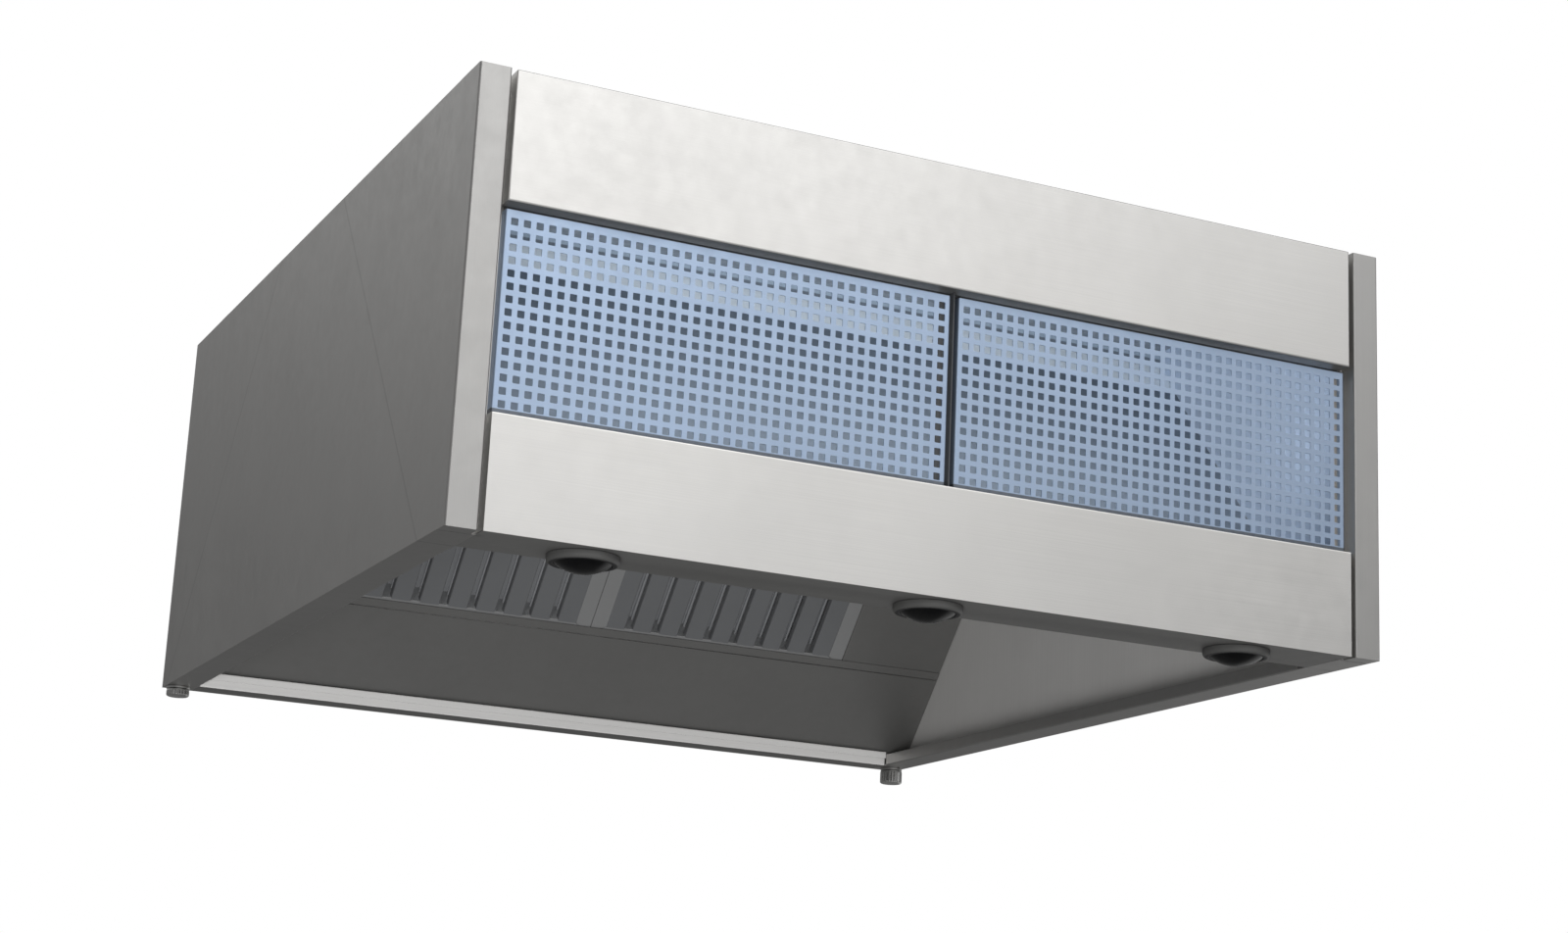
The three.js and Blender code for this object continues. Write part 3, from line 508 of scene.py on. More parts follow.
def dome_head(bm, centre, radius, height, normal=(0.0, 0.0, 1.0), sides=14):
    """A low round head, such as a rivet's, standing on a face."""
    turn = Vector(normal).to_track_quat("Z", "Y").to_matrix()
    steps = 4
    rings = []
    for angle in (math.pi / 2 * step / steps for step in range(steps)):
        lift = Vector((0.0, 0.0, height * math.sin(angle)))
        rings.append([bm.verts.new(Vector(centre) + turn @ (point + lift))
                      for point in circle(radius * math.cos(angle), sides)])
    bm.faces.new(rings[0][::-1])
    top = bm.verts.new(Vector(centre) + turn @ Vector((0.0, 0.0, height)))
    skin(bm, rings + [[top] * sides])


def swept(bm, points, radius, sides=12):
    """A round rod along a line of points, closed at both ends."""
    last = len(points) - 1
    normal = (points[1] - points[0]).orthogonal().normalized()
    rings = []
    for i, point in enumerate(points):
        tangent = (points[min(i + 1, last)] - points[max(i - 1, 0)]).normalized()
        normal = (normal - tangent * normal.dot(tangent)).normalized()
        other = tangent.cross(normal)
        rings.append([bm.verts.new(point + normal * spot.x + other * spot.y) for spot in circle(radius, sides)])
    capped(bm, rings)


# ---------------- folded sheets, rounded from their CAD nodes

RIM = 1
RIM_WIDTH = 1.2 * SHEET
CUT_EDGE = 2 * MM


def cad_bmesh(node):
    bm = bmesh.new()
    bm.from_mesh(nodes[node].data)
    bmesh.ops.remove_doubles(bm, verts=bm.verts, dist=WELD)
    bmesh.ops.dissolve_limit(bm, angle_limit=FACET_ANGLE, verts=bm.verts, edges=bm.edges)
    return bm


def strip_width(face):
    """Roughly how wide a long narrow face is."""
    return 2 * face.calc_area() / face.calc_perimeter()


def sharp_edges(bm, wanted=lambda edge: True, least=20):
    return [edge for edge in bm.edges if len(edge.link_faces) == 2
            and abs(edge.calc_face_angle(0.0)) > math.radians(least) and wanted(edge)]


def round_edges(bm, edges, radius, segments):
    """Rounds edges and marks the new faces as no rim."""
    if edges:
        result = bmesh.ops.bevel(bm, geom=edges, offset=radius, offset_type="OFFSET", segments=segments,
                                 profile=0.5, affect="EDGES", clamp_overlap=False)
        for face in result["faces"]:
            face.material_index = 0


def has_room(face, edge):
    """Whether a face is wide enough for a bend all along one of its edges."""
    start, end = (vertex.co for vertex in edge.verts)
    along = (end - start).normalized()
    for vertex in face.verts:
        reach = (vertex.co - start).dot(along)
        away = (vertex.co - start - along * reach).length
        if WELD < away < BEND and -WELD < reach < edge.calc_length() + WELD:
            return False
    return True


def is_bend(edge):
    return all(face.material_index != RIM and has_room(face, edge) for face in edge.link_faces)


def fold_bends(bm):
    """Rounds a folded sheet as a press does: large radii along the bends, a light deburr along cut edges."""
    for face in bm.faces:
        face.material_index = RIM if strip_width(face) < RIM_WIDTH else 0
    outer = sharp_edges(bm, lambda edge: is_bend(edge) and edge.calc_face_angle_signed(0.0) > 0)
    round_edges(bm, outer, BEND, 4)
    inner = sharp_edges(bm, lambda edge: is_bend(edge) and edge.calc_face_angle_signed(0.0) < 0, least=60)
    round_edges(bm, inner, BEND - SHEET, 3)
    rims = sharp_edges(bm, lambda edge: edge.calc_length() > CUT_EDGE
                       and sum(face.material_index == RIM for face in edge.link_faces) == 1)
    round_edges(bm, rims, DEBURR, 1)


def folded_sheet(node):
    bm = cad_bmesh(node)
    fold_bends(bm)
    stand_in(f"{node}_sheet", bm, node)


def mullion():
    """A drawn T bar, with all its edges lightly rounded."""
    bm = cad_bmesh("panel_mullion")
    round_edges(bm, sharp_edges(bm), 0.4 * MM, 2)
    stand_in("panel_mullion_sheet", bm, "panel_mullion")


# ---------------- sheets folded along a line

def bend_path(corners, *radii, steps=4):
    """The points of a line of corners with each inner corner rounded by an arc. The last radius repeats."""
    points = [Vector(corners[0])]
    for i, (before, corner, after) in enumerate(zip(corners, corners[1:], corners[2:])):
        radius = radii[min(i, len(radii) - 1)]
        corner = Vector(corner)
        to_before = (Vector(before) - corner).normalized()
        to_after = (Vector(after) - corner).normalized()
        half = to_before.angle(to_after) / 2
        reach = radius / math.tan(half)
        centre = corner + (to_before + to_after).normalized() * radius / math.sin(half)
        start, end = corner + to_before * reach, corner + to_after * reach
        for step in range(steps + 1):
            points.append(centre + (start - centre).lerp(end - centre, step / steps).normalized() * radius)
    return points + [Vector(corners[-1])]


def offset_path(points, distance):
    """The line moved sideways by a distance, to the left of its direction."""
    moved = []
    for i, point in enumerate(points):
        one = (point - points[i - 1]).normalized() if i else (points[1] - point).normalized()
        two = (points[i + 1] - point).normalized() if i < len(points) - 1 else one
        left, right = (Vector((-way.y, way.x)) for way in (one, two))
        moved.append(point + (left + right) * distance / (1 + left.dot(right)))
    return moved


# Where a point (a, b) of a path and a distance along the fold go, for a fold that runs along each axis.
FOLD_AXES = {
    "x": lambda a, b, along: (along, a, b),
    "y": lambda a, b, along: (a, along, b),
    "z": lambda a, b, along: (b, a, along),
}


def fold_strip(bm, path, start, end, axis, flip=False, thickness=SHEET, matrix=Matrix.Identity(4)):
    """A bent strip of sheet. Its path is in (y, z), (x, z) or (y, x) for a fold along x, y or z."""
    outline = list(path) + offset_path(path, -thickness if flip else thickness)[::-1]
    spot = FOLD_AXES[axis]
    rings = [[bm.verts.new(matrix @ Vector(spot(p.x, p.y, along))) for p in outline] for along in (start, end)]
    skin(bm, rings)
    count = len(outline)
    for ring in rings:
        for i in range(len(path) - 1):
            bm.faces.new((ring[i], ring[i + 1], ring[count - 2 - i], ring[count - 1 - i]))


# ---------------- end panels with their corner posts

POST_FACE, POST_RETURN, POST_FLANGE = 43 * MM, 28.5 * MM, 17 * MM
CHANNEL_WIDTH, CHANNEL_LIP = 50 * MM, 20 * MM


def end_panel(side, sign):
    """The end and its corner post from one sheet, with the drip channel along its foot."""
    node = f"{side}_end_panel"
    low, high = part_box(node)
    outer = sign * max(abs(low.x), abs(high.x))
    post_inner = outer - sign * POST_FACE
    post_back = low.y + POST_RETURN
    bm = bmesh.new()
    plan = bend_path([(high.y, outer), (low.y, outer), (low.y, post_inner), (post_back, post_inner),
                      (post_back, post_inner - sign * POST_FLANGE)], CORNER_BEND, BEND)
    fold_strip(bm, plan, low.z, high.z, "z", flip=sign < 0)

    wall = outer - sign * (SHEET + WELD)
    lip = outer - sign * CHANNEL_WIDTH
    lip_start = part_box("light_soffit")[1].y + CHANNEL_LIP
    lip_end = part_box("rear_gutter")[0].y - 2 * SEAM
    floor = [Vector((wall, low.z)), Vector((lip, low.z))]
    channel = bend_path(floor + [(lip, low.z + CHANNEL_LIP)], BEND)
    fold_strip(bm, channel, lip_start, lip_end, "y", flip=sign > 0)
    for start, end in ((post_back + SHEET + SEAM, lip_start), (lip_end, high.y - SHEET - SEAM)):
        fold_strip(bm, floor, start, end, "y", flip=sign > 0)
    x0, x1 = sorted((wall, post_inner + sign * SHEET))
    for z in (low.z, high.z - SHEET):
        post_cap = ((x0, z), (x1, z), (x1, z + SHEET), (x0, z + SHEET))
        prism(bm, post_cap, low.y + SHEET, post_back)
    stand_in(f"{side}_end_sheet", bm, node)


# ---------------- perforated panels

HOLE_PITCH, HOLE_HALF, HOLE_CORNER = 17.1 * MM, 4.9 * MM, 1.2 * MM
HOLE_ARC_STEPS = 2
HOOK_HEIGHT = 10 * MM


def hole_outline(cx, cz):
    """Points round a square hole with rounded corners, one list per corner, counter-clockwise from +x +z."""
    middle = HOLE_HALF - HOLE_CORNER
    corners = []
    for quarter, (sx, sz) in enumerate(((1, 1), (-1, 1), (-1, -1), (1, -1))):
        angles = [(quarter + step / HOLE_ARC_STEPS) * math.pi / 2 for step in range(HOLE_ARC_STEPS + 1)]
        corners.append([(cx + sx * middle + HOLE_CORNER * math.cos(angle),
                         cz + sz * middle + HOLE_CORNER * math.sin(angle)) for angle in angles])
    return corners


def grid_lines(low, high):
    """Lines between the holes, centred between two ends, and the middle of each hole."""
    count = int((high - low) / HOLE_PITCH)
    first = (low + high - count * HOLE_PITCH) / 2
    lines = [low] + [first + i * HOLE_PITCH for i in range(1, count)] + [high]
    return lines, [first + (i + 0.5) * HOLE_PITCH for i in range(count)]


def perforated_face(bm, low, high, front, back):
    """A sheet in the XZ plane with a square grid of real holes."""
    xs, columns = grid_lines(low[0], high[0])
    zs, rows = grid_lines(low[1], high[1])
    made = {}

    def vertex(point, y):
        key = (round(point[0], 7), y, round(point[1], 7))
        if key not in made:
            made[key] = bm.verts.new((point[0], y, point[1]))
        return made[key]

    for i, cx in enumerate(columns):
        for j, cz in enumerate(rows):
            cell = [(xs[i + 1], zs[j + 1]), (xs[i], zs[j + 1]), (xs[i], zs[j]), (xs[i + 1], zs[j])]
            hole = hole_outline(cx, cz)
            for y in (front, back):
                for k in range(4):
                    after = (k + 1) % 4
                    corner = vertex(cell[k], y)
                    for a, b in zip(hole[k], hole[k][1:]):
                        bm.faces.new((corner, vertex(b, y), vertex(a, y)))
                    bm.faces.new((corner, vertex(cell[after], y),
                                  vertex(hole[after][0], y), vertex(hole[k][-1], y)))
            loop = [point for corner in hole for point in corner]
            for a, b in zip(loop, loop[1:] + loop[:1]):
                bm.faces.new((vertex(a, front), vertex(b, front), vertex(b, back), vertex(a, back)))


def perforated_panel(side):
    """A tray with a pierced face, a foot, two sides and a hook along its top."""
    node = f"{side}_perforated_panel"
    low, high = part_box(node)
    top = high.z - HOOK_HEIGHT
    bm = bmesh.new()
    perforated_face(bm, (low.x + BEND, low.z + BEND), (high.x - BEND, top - BEND), low.y, low.y + SHEET)
    foot = bend_path([(low.y, low.z + BEND), (low.y, low.z), (high.y, low.z)], BEND)
    fold_strip(bm, foot, low.x + BEND, high.x - BEND, "x")
    hook = bend_path([(low.y, top - BEND), (low.y, top), (high.y - SHEET, top), (high.y - SHEET, high.z)],
                     BEND, TIGHT_BEND)
    fold_strip(bm, hook, low.x + BEND, high.x - BEND, "x", flip=True)
    for x, sign in ((low.x, 1), (high.x, -1)):
        edge = bend_path([(low.y, x + sign * BEND), (low.y, x), (high.y, x)], BEND)
        fold_strip(bm, edge, low.z + BEND, top - BEND, "z", flip=sign < 0)
    bmesh.ops.remove_doubles(bm, verts=bm.verts, dist=0.01 * MM)
    let_light_through(stand_in(f"{side}_perforated_sheet", bm, node))


# ---------------- grease filters

# In the slope's own frame z goes up the slope and y into the exhaust chamber.
lift_axis = joints["left_filter_lift"]["axis"]
slope = Matrix.Rotation(math.atan2(-lift_axis[1], lift_axis[2]), 4, "X")
slope_back = slope.inverted()

FRONT_BAFFLES = 9
BAFFLE_PITCH, BAFFLE_WIDTH, BAFFLE_DEPTH = 50.5 * MM, 34 * MM, 13 * MM
BAFFLE_HEM, BAFFLE_BEND, BAFFLE_SHEET = 4 * MM, 1.8 * MM, 1.0 * MM
BAFFLE_INSET, BAFFLE_LAP = 0.3 * MM, 2 * MM
FRAME_BORDER, FRAME_DEPTH = 20 * MM, 48 * MM
MITRE_GAP, RAIL_ROUNDING = 0.12 * MM, 0.9 * MM
FRAME_RIVET, FRAME_RIVET_HEIGHT = 2.4 * MM, 0.6 * MM
HANDLE_BAFFLES = (-2, 2)
WIRE_RADIUS, WIRE_BEND = 2 * MM, 5.5 * MM
CLIP_WIDTH, CLIP_FOOT, CLIP_ARCH = 8 * MM, 11 * MM, 3.1 * MM


def slope_box(node):
    """A node's lowest and highest corner in the slope's frame."""
    points = [slope_back @ vertex.co for vertex in nodes[node].data.vertices]
    return (Vector(min(axis) for axis in zip(*points)), Vector(max(axis) for axis in zip(*points)))


def filter_frame(bm, low, high, face):
    """Four mitred rails with a hairline between them."""
    side = (high.x - low.x - (FRONT_BAFFLES - 1) * BAFFLE_PITCH - BAFFLE_WIDTH) / 2 + 2 * SHEET
    corners = ((low.x, low.z), (high.x, low.z), (high.x, high.z), (low.x, high.z))
    inwards = ((side, FRAME_BORDER), (-side, FRAME_BORDER), (-side, -FRAME_BORDER), (side, -FRAME_BORDER))
    outer = [Vector(corner) for corner in corners]
    inner = [corner + Vector(step) for corner, step in zip(outer, inwards)]
    for k in range(4):
        after = (k + 1) % 4
        rail = (outer[k], outer[after], inner[after], inner[k])
        middle = sum(rail, Vector((0.0, 0.0))) / 4
        outline = [point.lerp(middle, MITRE_GAP / (point - middle).length) for point in rail]
        prism(bm, outline, face, face + FRAME_DEPTH, slope, bevel=RAIL_ROUNDING)


def baffle(bm, centre, face, low_end, high_end, front):
    """A channel of thin sheet with hemmed lips, open to the back in front and to the front at the rear."""
    half = BAFFLE_WIDTH / 2
    hem = half - BAFFLE_HEM
    lips = face + (BAFFLE_DEPTH if front else -BAFFLE_DEPTH)
    path = bend_path([(lips, centre - hem), (lips, centre - half), (face, centre - half),
                      (face, centre + half), (lips, centre + half), (lips, centre + hem)], BAFFLE_BEND)
    fold_strip(bm, path, low_end, high_end, "z", flip=not front, thickness=BAFFLE_SHEET, matrix=slope)


def saddle_clip(bm, x, z, pivot, face):
    """A strap over the handle's wire, with a flat foot on each side."""
    steps = 8
    turns = [math.pi * (step / steps - 0.5) for step in range(steps + 1)]
    arch = [(pivot - CLIP_ARCH * math.cos(turn), CLIP_ARCH * math.sin(turn)) for turn in turns]
    path = [(face, -CLIP_FOOT), (face, -CLIP_ARCH), *arch, (face, CLIP_ARCH), (face, CLIP_FOOT)]
    place = Matrix.Translation(slope @ Vector((x, 0.0, z))) @ slope
    fold_strip(bm, [Vector(point) for point in path], -CLIP_WIDTH / 2, CLIP_WIDTH / 2, "x",
               thickness=BAFFLE_SHEET, matrix=place)


def baffle_filter(side):
    node = f"{side}_filter"
    body = body_of_node[node]
    low, high = slope_box(node)
    face = high.y - FRAME_DEPTH
    bm = bmesh.new()
    filter_frame(bm, low, high, face)
    stand_in(f"{node}_frame", bm, node, filter_frame_steel)

    middle = (low.x + high.x) / 2
    fronts = [middle + (i - (FRONT_BAFFLES - 1) / 2) * BAFFLE_PITCH for i in range(FRONT_BAFFLES)]
    ends = (low.z + FRAME_BORDER - BAFFLE_LAP, high.z - FRAME_BORDER + BAFFLE_LAP)
    bm = bmesh.new()
    for x in fronts:
        baffle(bm, x, face + BAFFLE_INSET, *ends, front=True)
    let_light_through(piece(f"{node}_front_baffles", bm, body, "filter_steel"))
    bm = bmesh.new()
    for left, right in zip(fronts, fronts[1:]):
        baffle(bm, (left + right) / 2, high.y - BAFFLE_INSET, *ends, front=False)
    piece(f"{node}_rear_baffles", bm, body, "filter_steel", filter_rear)

    bm = bmesh.new()
    outward = slope.to_3x3() @ Vector((0.0, -1.0, 0.0))
    for x in fronts:
        for z in (low.z + FRAME_BORDER / 2, high.z - FRAME_BORDER / 2):
            dome_head(bm, slope @ Vector((x, face, z)), FRAME_RIVET, FRAME_RIVET_HEIGHT, outward)
    piece(f"{node}_rivets", bm, body, "bright_steel")

    bm = bmesh.new()
    for number, place in enumerate(HANDLE_BAFFLES, start=1):
        pivot = slope_back @ Vector(joints[f"{node}_handle_{number}_swing"]["pos_m"])
        for x in (middle + (place - 1) * BAFFLE_PITCH, middle + (place + 1) * BAFFLE_PITCH):
            saddle_clip(bm, x, pivot.z, pivot.y, face + BAFFLE_INSET - BAFFLE_SHEET)
    piece(f"{node}_handle_clips", bm, body, "bright_steel")


def filter_handle(node):
    """A wire bail whose ends turn inwards through the clips."""
    pivot = Vector(joints[f"{node}_swing"]["pos_m"])
    low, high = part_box(node)
    reach = (high.x - low.x) / 2 - WIRE_RADIUS
    drop = pivot.z - low.z - WIRE_RADIUS
    pin_end = BAFFLE_PITCH - 6 * MM
    corners = [(-pin_end, 0), (-reach, 0), (-reach, -drop), (reach, -drop), (reach, 0), (pin_end, 0)]
    line = [pivot + Vector((p.x, 0.0, p.y)) for p in bend_path(corners, WIRE_BEND, steps=6)]
    bm = bmesh.new()
    swept(bm, line, WIRE_RADIUS)
    stand_in(f"{node}_wire", bm, node)


# ---------------- turned pieces

GLASS = 3 * MM
CAP_ROUNDING = 0.8 * MM


def turned(name, node, profile, sides=72, flutes=None):
    """A round piece about a CAD node's vertical middle line, from a profile of (radius, height) points that is
    closed or has both ends on the axis."""
    low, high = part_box(node)
    cx, cy = (low.x + high.x) / 2, (low.y + high.y) / 2
    bm = bmesh.new()
    rings = []
    for radius, height in profile:
        if radius < 1e-6:
            rings.append([bm.verts.new((cx, cy, height))] * sides)
            continue
        ring = []
        for k in range(sides):
            angle = math.tau * k / sides
            r = radius * (flutes(angle, height) if flutes else 1.0)
            ring.append(bm.verts.new((cx + r * math.cos(angle), cy + r * math.sin(angle), height)))
        rings.append(ring)
    closed = profile[0][0] > 1e-6
    skin(bm, rings + rings[:1] if closed else rings)
    stand_in(name, bm, node)


def rounded_profile(corners, radius, closed=True, steps=3):
    """A profile with its corners rounded. An open profile keeps its two ends, which lie on the axis."""
    line = [Vector(corner) for corner in corners]
    looped = [line[-1], *line, line[0]] if closed else line
    points = []
    for before, corner, after in zip(looped, looped[1:], looped[2:]):
        one, two = before - corner, after - corner
        reach = min(radius, one.length * 0.45, two.length * 0.45)
        start, end = corner + one.normalized() * reach, corner + two.normalized() * reach
        for t in (step / steps for step in range(steps + 1)):
            points.append((1 - t) ** 2 * start + 2 * t * (1 - t) * corner + t ** 2 * end)
    return points if closed else [line[0], *points, line[-1]]


def dome_line(radius, crown, rim, steps=10):
    """Half the section of a shallow dome, from its crown on the axis to its rim."""
    sag = rim - crown
    sphere = (radius * radius + sag * sag) / (2 * sag)
    turns = [math.asin(radius / sphere) * i / steps for i in range(steps + 1)]
    return [(sphere * math.sin(turn), crown + sphere * (1 - math.cos(turn))) for turn in turns]


def downlight(name):
    """A drum-shaped ring below the soffit, a glass dome in it and a can above."""
    low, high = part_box(f"{name}_light_bezel")
    lens_low, lens_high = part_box(f"{name}_light_lens")
    rim, outer = low.z, (high.x - low.x) / 2
    glass = (lens_high.x - lens_low.x) / 2
    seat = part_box("light_soffit")[0].z - SEAM
    bore, neck = glass + 0.5 * MM, glass + 2.4 * MM
    ring = [(bore, rim), (outer - 4 * MM, rim), (outer - 1 * MM, rim + 2 * MM), (outer, rim + 5 * MM),
            (outer, seat), (neck, seat), (neck, high.z), (bore, high.z)]
    turned(f"{name}_bezel_ring", f"{name}_light_bezel", rounded_profile(ring, 1.6 * MM), sides=96)
    outside = dome_line(glass, lens_low.z, rim + 1 * MM)
    inside = dome_line(glass - GLASS, lens_low.z + GLASS, rim + GLASS)
    lens = [*outside, (glass, lens_high.z), (glass - GLASS, lens_high.z), *inside[::-1]]
    turned(f"{name}_lens_dome", f"{name}_light_lens", lens, sides=96)
    low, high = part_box(f"{name}_light_can")
    can, corner = (high.x - low.x) / 2, 6 * MM
    inner = corner + 1 * MM
    shell = [(can - SHEET, low.z), (can, low.z), (can, high.z - corner), (can - corner, high.z), (0, high.z),
             (0, high.z - SHEET), (can - inner, high.z - SHEET), (can - SHEET, high.z - inner)]
    turned(f"{name}_can_shell", f"{name}_light_can", shell, sides=64)


def knurl(count, depth, top, base):
    """Grip flutes round a cap, between two heights."""
    def share(angle, height):
        return 1 - depth * (0.5 + 0.5 * math.cos(count * angle)) if base < height < top else 1.0
    return share


def drain_fitting(boss_node, cap_node):
    """A threaded boss through the floor of the drip channel, and the cap screwed on it."""
    low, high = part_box(boss_node)
    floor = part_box("left_end_panel")[0].z
    bore, thread, collar, neck = 8 * MM, 12.5 * MM, 20 * MM, 11 * MM
    under = floor - 4 * MM
    boss = [(bore, low.z), (thread, low.z), (thread, under), (collar, under), (collar, floor - SEAM),
            (neck, floor - SEAM), (neck, high.z), (bore, high.z)]
    turned(f"{boss_node}_socket", boss_node, rounded_profile(boss, CAP_ROUNDING), sides=48)

    low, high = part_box(cap_node)
    radius, step = (high.x - low.x) / 2, 0.5 * MM
    hollow, bottom = 13.5 * MM, floor - 11.5 * MM
    cap = [(0, low.z), (radius - 3 * MM, low.z), (radius - step, low.z + 1.5 * MM), (radius, low.z + 3 * MM),
           (radius, high.z - 3 * MM), (radius - step, high.z - 2 * MM), (radius - step, high.z),
           (hollow, high.z), (hollow, bottom), (0, bottom)]
    cap = rounded_profile(cap, CAP_ROUNDING, closed=False)
    grip = knurl(24, 0.05, high.z - 2.5 * MM, low.z + 2.0 * MM)
    turned(f"{cap_node}_grip", cap_node, cap, sides=144, flutes=grip)


# ---------------- fasteners and roof details

HEAD_RADIUS, HEAD_HEIGHT = 7.5 * MM, 5.5 * MM
SHANK_RADIUS, THREAD_DEPTH, HALF_PITCH = 4 * MM, 0.35 * MM, 0.625 * MM
ROOF_RIVET, ROOF_RIVET_HEIGHT = 3.2 * MM, 1.2 * MM
COLLAR_FLANGE = 20 * MM


def hex_bolt(node):
    low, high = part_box(node)
    middle = (low + high) / 2
    seat = high.z - HEAD_HEIGHT
    bm = bmesh.new()

    def stack(levels, sides):
        capped(bm, [[bm.verts.new((middle.x + p.x, middle.y + p.y, z)) for p in circle(radius, sides)]
                    for radius, z in levels])

    stack([(0.93 * HEAD_RADIUS, seat), (HEAD_RADIUS, seat + 0.4 * MM), (HEAD_RADIUS, high.z - 0.9 * MM),
           (0.86 * HEAD_RADIUS, high.z)], 6)
    steps = int((seat - low.z) / HALF_PITCH) + 1
    stack([(SHANK_RADIUS - (THREAD_DEPTH if step % 2 else 0.0), low.z + step * HALF_PITCH)
           for step in range(steps)], 20)
    stand_in(f"{node}_hex", bm, node)


def spread(start, end, pitch):
    """Places from start to end, both included, at about the given pitch."""
    count = max(1, round((end - start) / pitch))
    return [start + (end - start) * i / count for i in range(count + 1)]


def roof_rivets():
    low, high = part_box("roof_panel")
    inset, pitch = 12 * MM, 140 * MM
    places = [(x, high.y - inset) for x in spread(low.x + 60 * MM, high.x - 60 * MM, pitch)]
    for y in spread(low.y + 40 * MM, high.y - 40 * MM, pitch):
        places += [(low.x + inset, y), (high.x - inset, y)]
    bm = bmesh.new()
    for x, y in places:
        dome_head(bm, (x, y, high.z), ROOF_RIVET, ROOF_RIVET_HEIGHT)
    piece("roof_rivets", bm, "casing", "bright_steel")


def collar_details(name):
    """Screws down the foot flange of a duct collar, and a bead of sealant round its edge."""
    low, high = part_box(f"{name}_spigot")
    left, right = (corner.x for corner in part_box("exhaust_spigot"))
    inset = COLLAR_FLANGE / 2
    xs = spread(left + inset, right - inset, 130 * MM)
    ys = spread(low.y + inset, high.y - inset, 120 * MM)
    bm = bmesh.new()
    for x, y in [(x, y) for x in xs for y in ys if x in (xs[0], xs[-1]) or y in (ys[0], ys[-1])]:
        dome_head(bm, (x, y, low.z + SHEET), 3.8 * MM, 2.0 * MM, sides=16)
    piece(f"{name}_collar_screws", bm, "casing", "bright_steel")

    roof = low.z - SEAM
    bead, waver, steps = 2.2 * MM, 0.25 * MM, 40
    corners = [Vector((x, y, roof + 0.6 * MM)) for x, y in
               ((left, low.y), (right, low.y), (right, high.y), (left, high.y), (left, low.y))]
    line = []
    for start, end in zip(corners, corners[1:]):
        for t in (step / steps for step in range(steps)):
            waver_here = waver * math.sin(37.0 * t + 5.0 * start.x + 3.0 * start.y)
            line.append(start.lerp(end, t) + Vector((0.0, waver_here, 0.0)))
    bm = bmesh.new()
    swept(bm, line + line[:1], bead, sides=8)
    for vertex in bm.verts:
        vertex.co.z = max(vertex.co.z, roof)
    piece(f"{name}_collar_sealant", bm, "casing", "box_grey", sealant)


def junction_box():
    """A moulded case and lid with rounded corners, and four lid screws."""
    low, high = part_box("junction_box")
    lid = high.z - 6 * MM
    bm = bmesh.new()

    def ring(inset, radius, z):
        away = inset + radius
        x0, x1, y0, y1 = low.x + away, high.x - away, low.y + away, high.y - away
        verts = []
        for quarter, (cx, cy) in enumerate(((x1, y1), (x0, y1), (x0, y0), (x1, y0))):
            for angle in ((quarter + step / 5) * math.pi / 2 for step in range(6)):
                verts.append(bm.verts.new((cx + radius * math.cos(angle), cy + radius * math.sin(angle), z)))
        return verts

    capped(bm, [ring(0.6 * MM, 7 * MM, low.z), ring(0, 8 * MM, low.z + 0.8 * MM),
                ring(0, 8 * MM, lid - 1.2 * MM), ring(0.8 * MM, 7 * MM, lid - 0.6 * MM)])
    capped(bm, [ring(0.4 * MM, 8 * MM, lid), ring(0, 8 * MM, lid + 0.6 * MM), ring(0, 8 * MM, high.z - 2 * MM),
                ring(0.8 * MM, 7.4 * MM, high.z - 0.7 * MM), ring(2.4 * MM, 6 * MM, high.z - 0.2 * MM)])
    stand_in("junction_box_case", bm, "junction_box")
    inset = 9 * MM
    bm = bmesh.new()
    for x in (low.x + inset, high.x - inset):
        for y in (low.y + inset, high.y - inset):
            dome_head(bm, (x, y, high.z - 1.4 * MM), 3.4 * MM, 1.2 * MM, sides=18)
    piece("junction_box_screws", bm, "casing", "bright_steel")


# ---------------- CAD nodes that keep their own mesh

def weld(owner):
    owner.modifiers.new("weld", "WELD").merge_threshold = WELD


def soften(owner):
    """Joins a CAD mesh's facets, rounds its edges and keeps its flat faces flat."""
    weld(owner)
    flatten = owner.modifiers.new("flatten", "DECIMATE")
    flatten.decimate_type = "DISSOLVE"
    flatten.angle_limit = FACET_ANGLE
    bevel = owner.modifiers.new("bevel", "BEVEL")
    bevel.width = 0.5 * MM
    bevel.segments = 2
    bevel.limit_method = "ANGLE"
    bevel.angle_limit = math.radians(30)
    bevel.use_clamp_overlap = True
    add_weighted_normals(owner)


def finish_cad_nodes():
    for node, owner in nodes.items():
        if owner.hide_render:
            continue
        owner.data.materials.clear()
        owner.data.materials.append(look_of(node))
        if node == "lighting_cable":
            weld(owner)
            owner.modifiers.new("round", "SUBSURF").render_levels = 2
        else:
            soften(owner)


for sheet_node in (
    "rear_panel", "top_fascia", "bottom_fascia", "rear_gutter",
    "light_soffit", "plenum_back", "exhaust_apron", "filter_ledge", "filter_head_channel",
    "left_blanking_panel", "right_blanking_panel", "upper_panel_track", "lower_panel_track",
):
    folded_sheet(sheet_node)
mullion()
end_panel("left", -1)
end_panel("right", 1)
for hand in ("left", "right"):
    perforated_panel(hand)
    baffle_filter(hand)
    filter_handle(f"{hand}_filter_handle_1")
    filter_handle(f"{hand}_filter_handle_2")
for light in ("left", "middle", "right"):
    downlight(light)
drain_fitting("drain_boss", "drain_cap")
drain_fitting("plug_boss", "plug_cap")
for corner in ("front_left", "front_right", "rear_left", "rear_right"):
    hex_bolt(f"hanger_bolt_{corner}")
roof_rivets()
collar_details("exhaust")
collar_details("supply")
junction_box()
finish_cad_nodes()


# ---------------- floor, light and camera

FLOOR_DROP, FLOOR_HALF = 3.2, 60.0

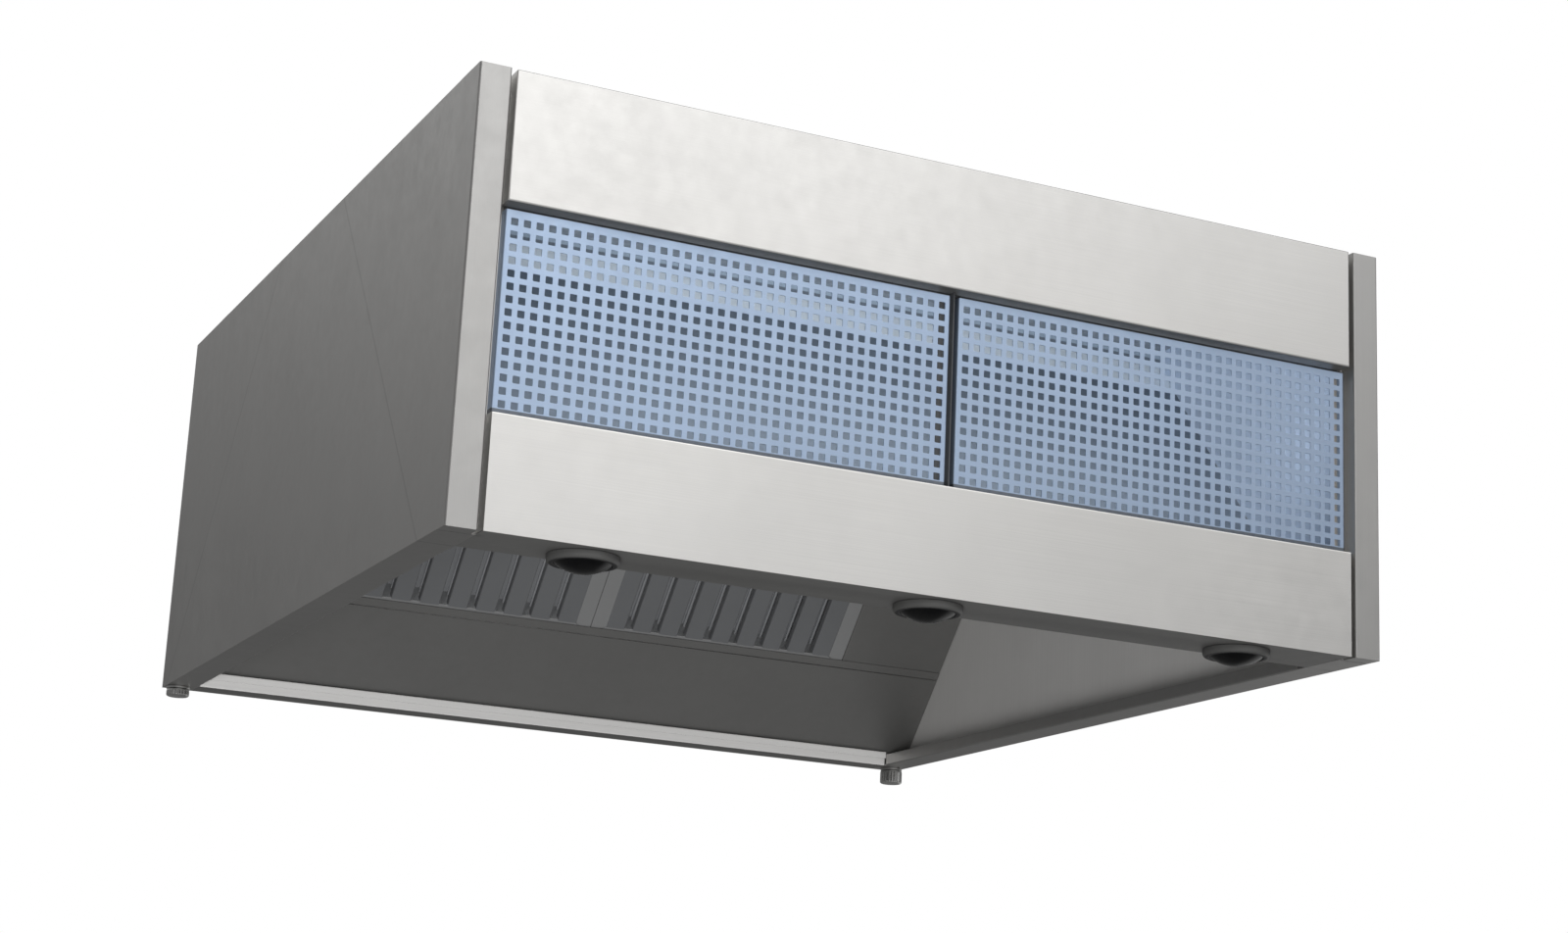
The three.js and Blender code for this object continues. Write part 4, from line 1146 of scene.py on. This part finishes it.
# For lighting, the room has bright patches: towards where, the half angles of its core and its edge, strength.
BRIGHT_PATCHES = (
    ((0.12, -0.700, 0.705), 8, 46, 1.50),
    ((-0.23, 0.63, 0.743), 8, 38, 0.75),
    ((0.05, -0.85, -0.52), 12, 50, 0.25),
    ((0.0, 0.0, 1.0), 20, 65, 0.5),
    ((0.85, 0.45, -0.3), 8, 31, 0.45),
)


def make_floor():
    """Seen and lit from above, clear from below, and unseen by the canopy."""
    height = cad_box[0].z - FLOOR_DROP
    corners = ((-1, -1), (1, -1), (1, 1), (-1, 1))
    material, tree = new_tree("pale_floor")
    colour = tree.mix(tree.noise(1.5, detail=4.0), grey(0.80), grey(0.86))
    top = tree.add("ShaderNodeBsdfPrincipled", {"Base Color": colour, "Roughness": 0.7})
    clear = tree.add("ShaderNodeBsdfTransparent")
    below = tree.add("ShaderNodeNewGeometry").outputs["Backfacing"]
    tree.blend("ShaderNodeOutputMaterial", below, top, clear)
    bm = bmesh.new()
    bm.faces.new([bm.verts.new((x * FLOOR_HALF, y * FLOOR_HALF, height)) for x, y in corners])
    floor = mesh_object("floor", bm, material)
    floor.visible_glossy = False
    floor.visible_diffuse = False


def make_world():
    """White to the camera. For lighting it is a dim room with bright soft patches."""
    world = bpy.data.worlds.new("studio")
    bpy.context.scene.world = world
    tree = Tree(world)
    look = tree.add("ShaderNodeTexCoord").outputs["Generated"]
    height = tree.add("ShaderNodeSeparateXYZ", {0: look}).outputs["Z"]
    total = tree.remap(height, -0.6, 0.4, 0.13, 0.15, "SMOOTHSTEP")
    for towards, core, edge, strength in BRIGHT_PATCHES:
        facing = tree.vector("DOT_PRODUCT", look, tuple(Vector(towards).normalized()))
        rim, full = math.cos(math.radians(edge)), math.cos(math.radians(core))
        total = tree.math("ADD", total, tree.remap(facing, rim, full, 0.0, strength, "SMOOTHSTEP"))
    light = tree.add("ShaderNodeBackground", {"Color": grey(1.0), "Strength": total})
    seen = tree.add("ShaderNodeBackground", {"Color": grey(1.0), "Strength": 1.0})
    camera_ray = tree.add("ShaderNodeLightPath").outputs["Is Camera Ray"]
    tree.blend("ShaderNodeOutputWorld", camera_ray, light, seen)


def area_light(name, place, target, size, watts, in_reflections=False):
    data = bpy.data.lights.new(name, "AREA")
    data.shape = "RECTANGLE"
    data.size, data.size_y = size
    data.energy = watts
    lamp = add_object(name, data)
    lamp.location = place
    lamp.rotation_mode = "QUATERNION"
    lamp.rotation_quaternion = (Vector(target) - Vector(place)).to_track_quat("-Z", "Y")
    lamp.visible_glossy = in_reflections


def make_lights():
    """Four soft lights round the canopy, and a strip in the chamber behind the perforated panels."""
    low, high = cad_box
    centre = (low + high) / 2
    area_light("key_softbox", (-2.0, low.y - 3.8, 1.0), centre, (2.4, 1.8), 50.0)
    area_light("top_softbox", (centre.x, centre.y, high.z + 2.6), centre, (3.0, 3.0), 26.0, in_reflections=True)
    area_light("rear_softbox", (2.2, high.y + 3.0, 2.2), centre, (2.0, 1.6), 12.0, in_reflections=True)
    area_light("bounce_board", (-2.2, low.y - 3.4, low.z - 1.6), centre, (2.2, 1.6), 118.0)
    _, panel_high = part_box("left_perforated_panel")
    _, back_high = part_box("plenum_back")
    length, width = 1.15, 0.10
    area_light("chamber_fill", (0.0, panel_high.y + 30 * MM, panel_high.z - width),
               (0.0, back_high.y, back_high.z - 0.2 * width), (length, width), 3.2)


def make_camera():
    """A long lens from the front left and a little below, looking up at the canopy."""
    data = bpy.data.cameras.new("camera")
    data.lens = 62.35
    data.sensor_width = 36.0
    data.clip_end = 200.0
    place = Vector((-1.6852, -4.5642, -1.0309))
    forward = Vector((0.4088, 0.8783, 0.2478)).normalized()
    right = Vector((0.9007, -0.4321, 0.0456))
    right = (right - forward * right.dot(forward)).normalized()
    up = right.cross(forward)
    camera = add_object("camera", data)
    camera.matrix_world = Matrix.Translation(place) @ Matrix((right, up, -forward)).transposed().to_4x4()
    bpy.context.scene.camera = camera


make_floor()
make_world()
make_lights()
make_camera()
bpy.context.scene.view_settings.view_transform = "Standard"
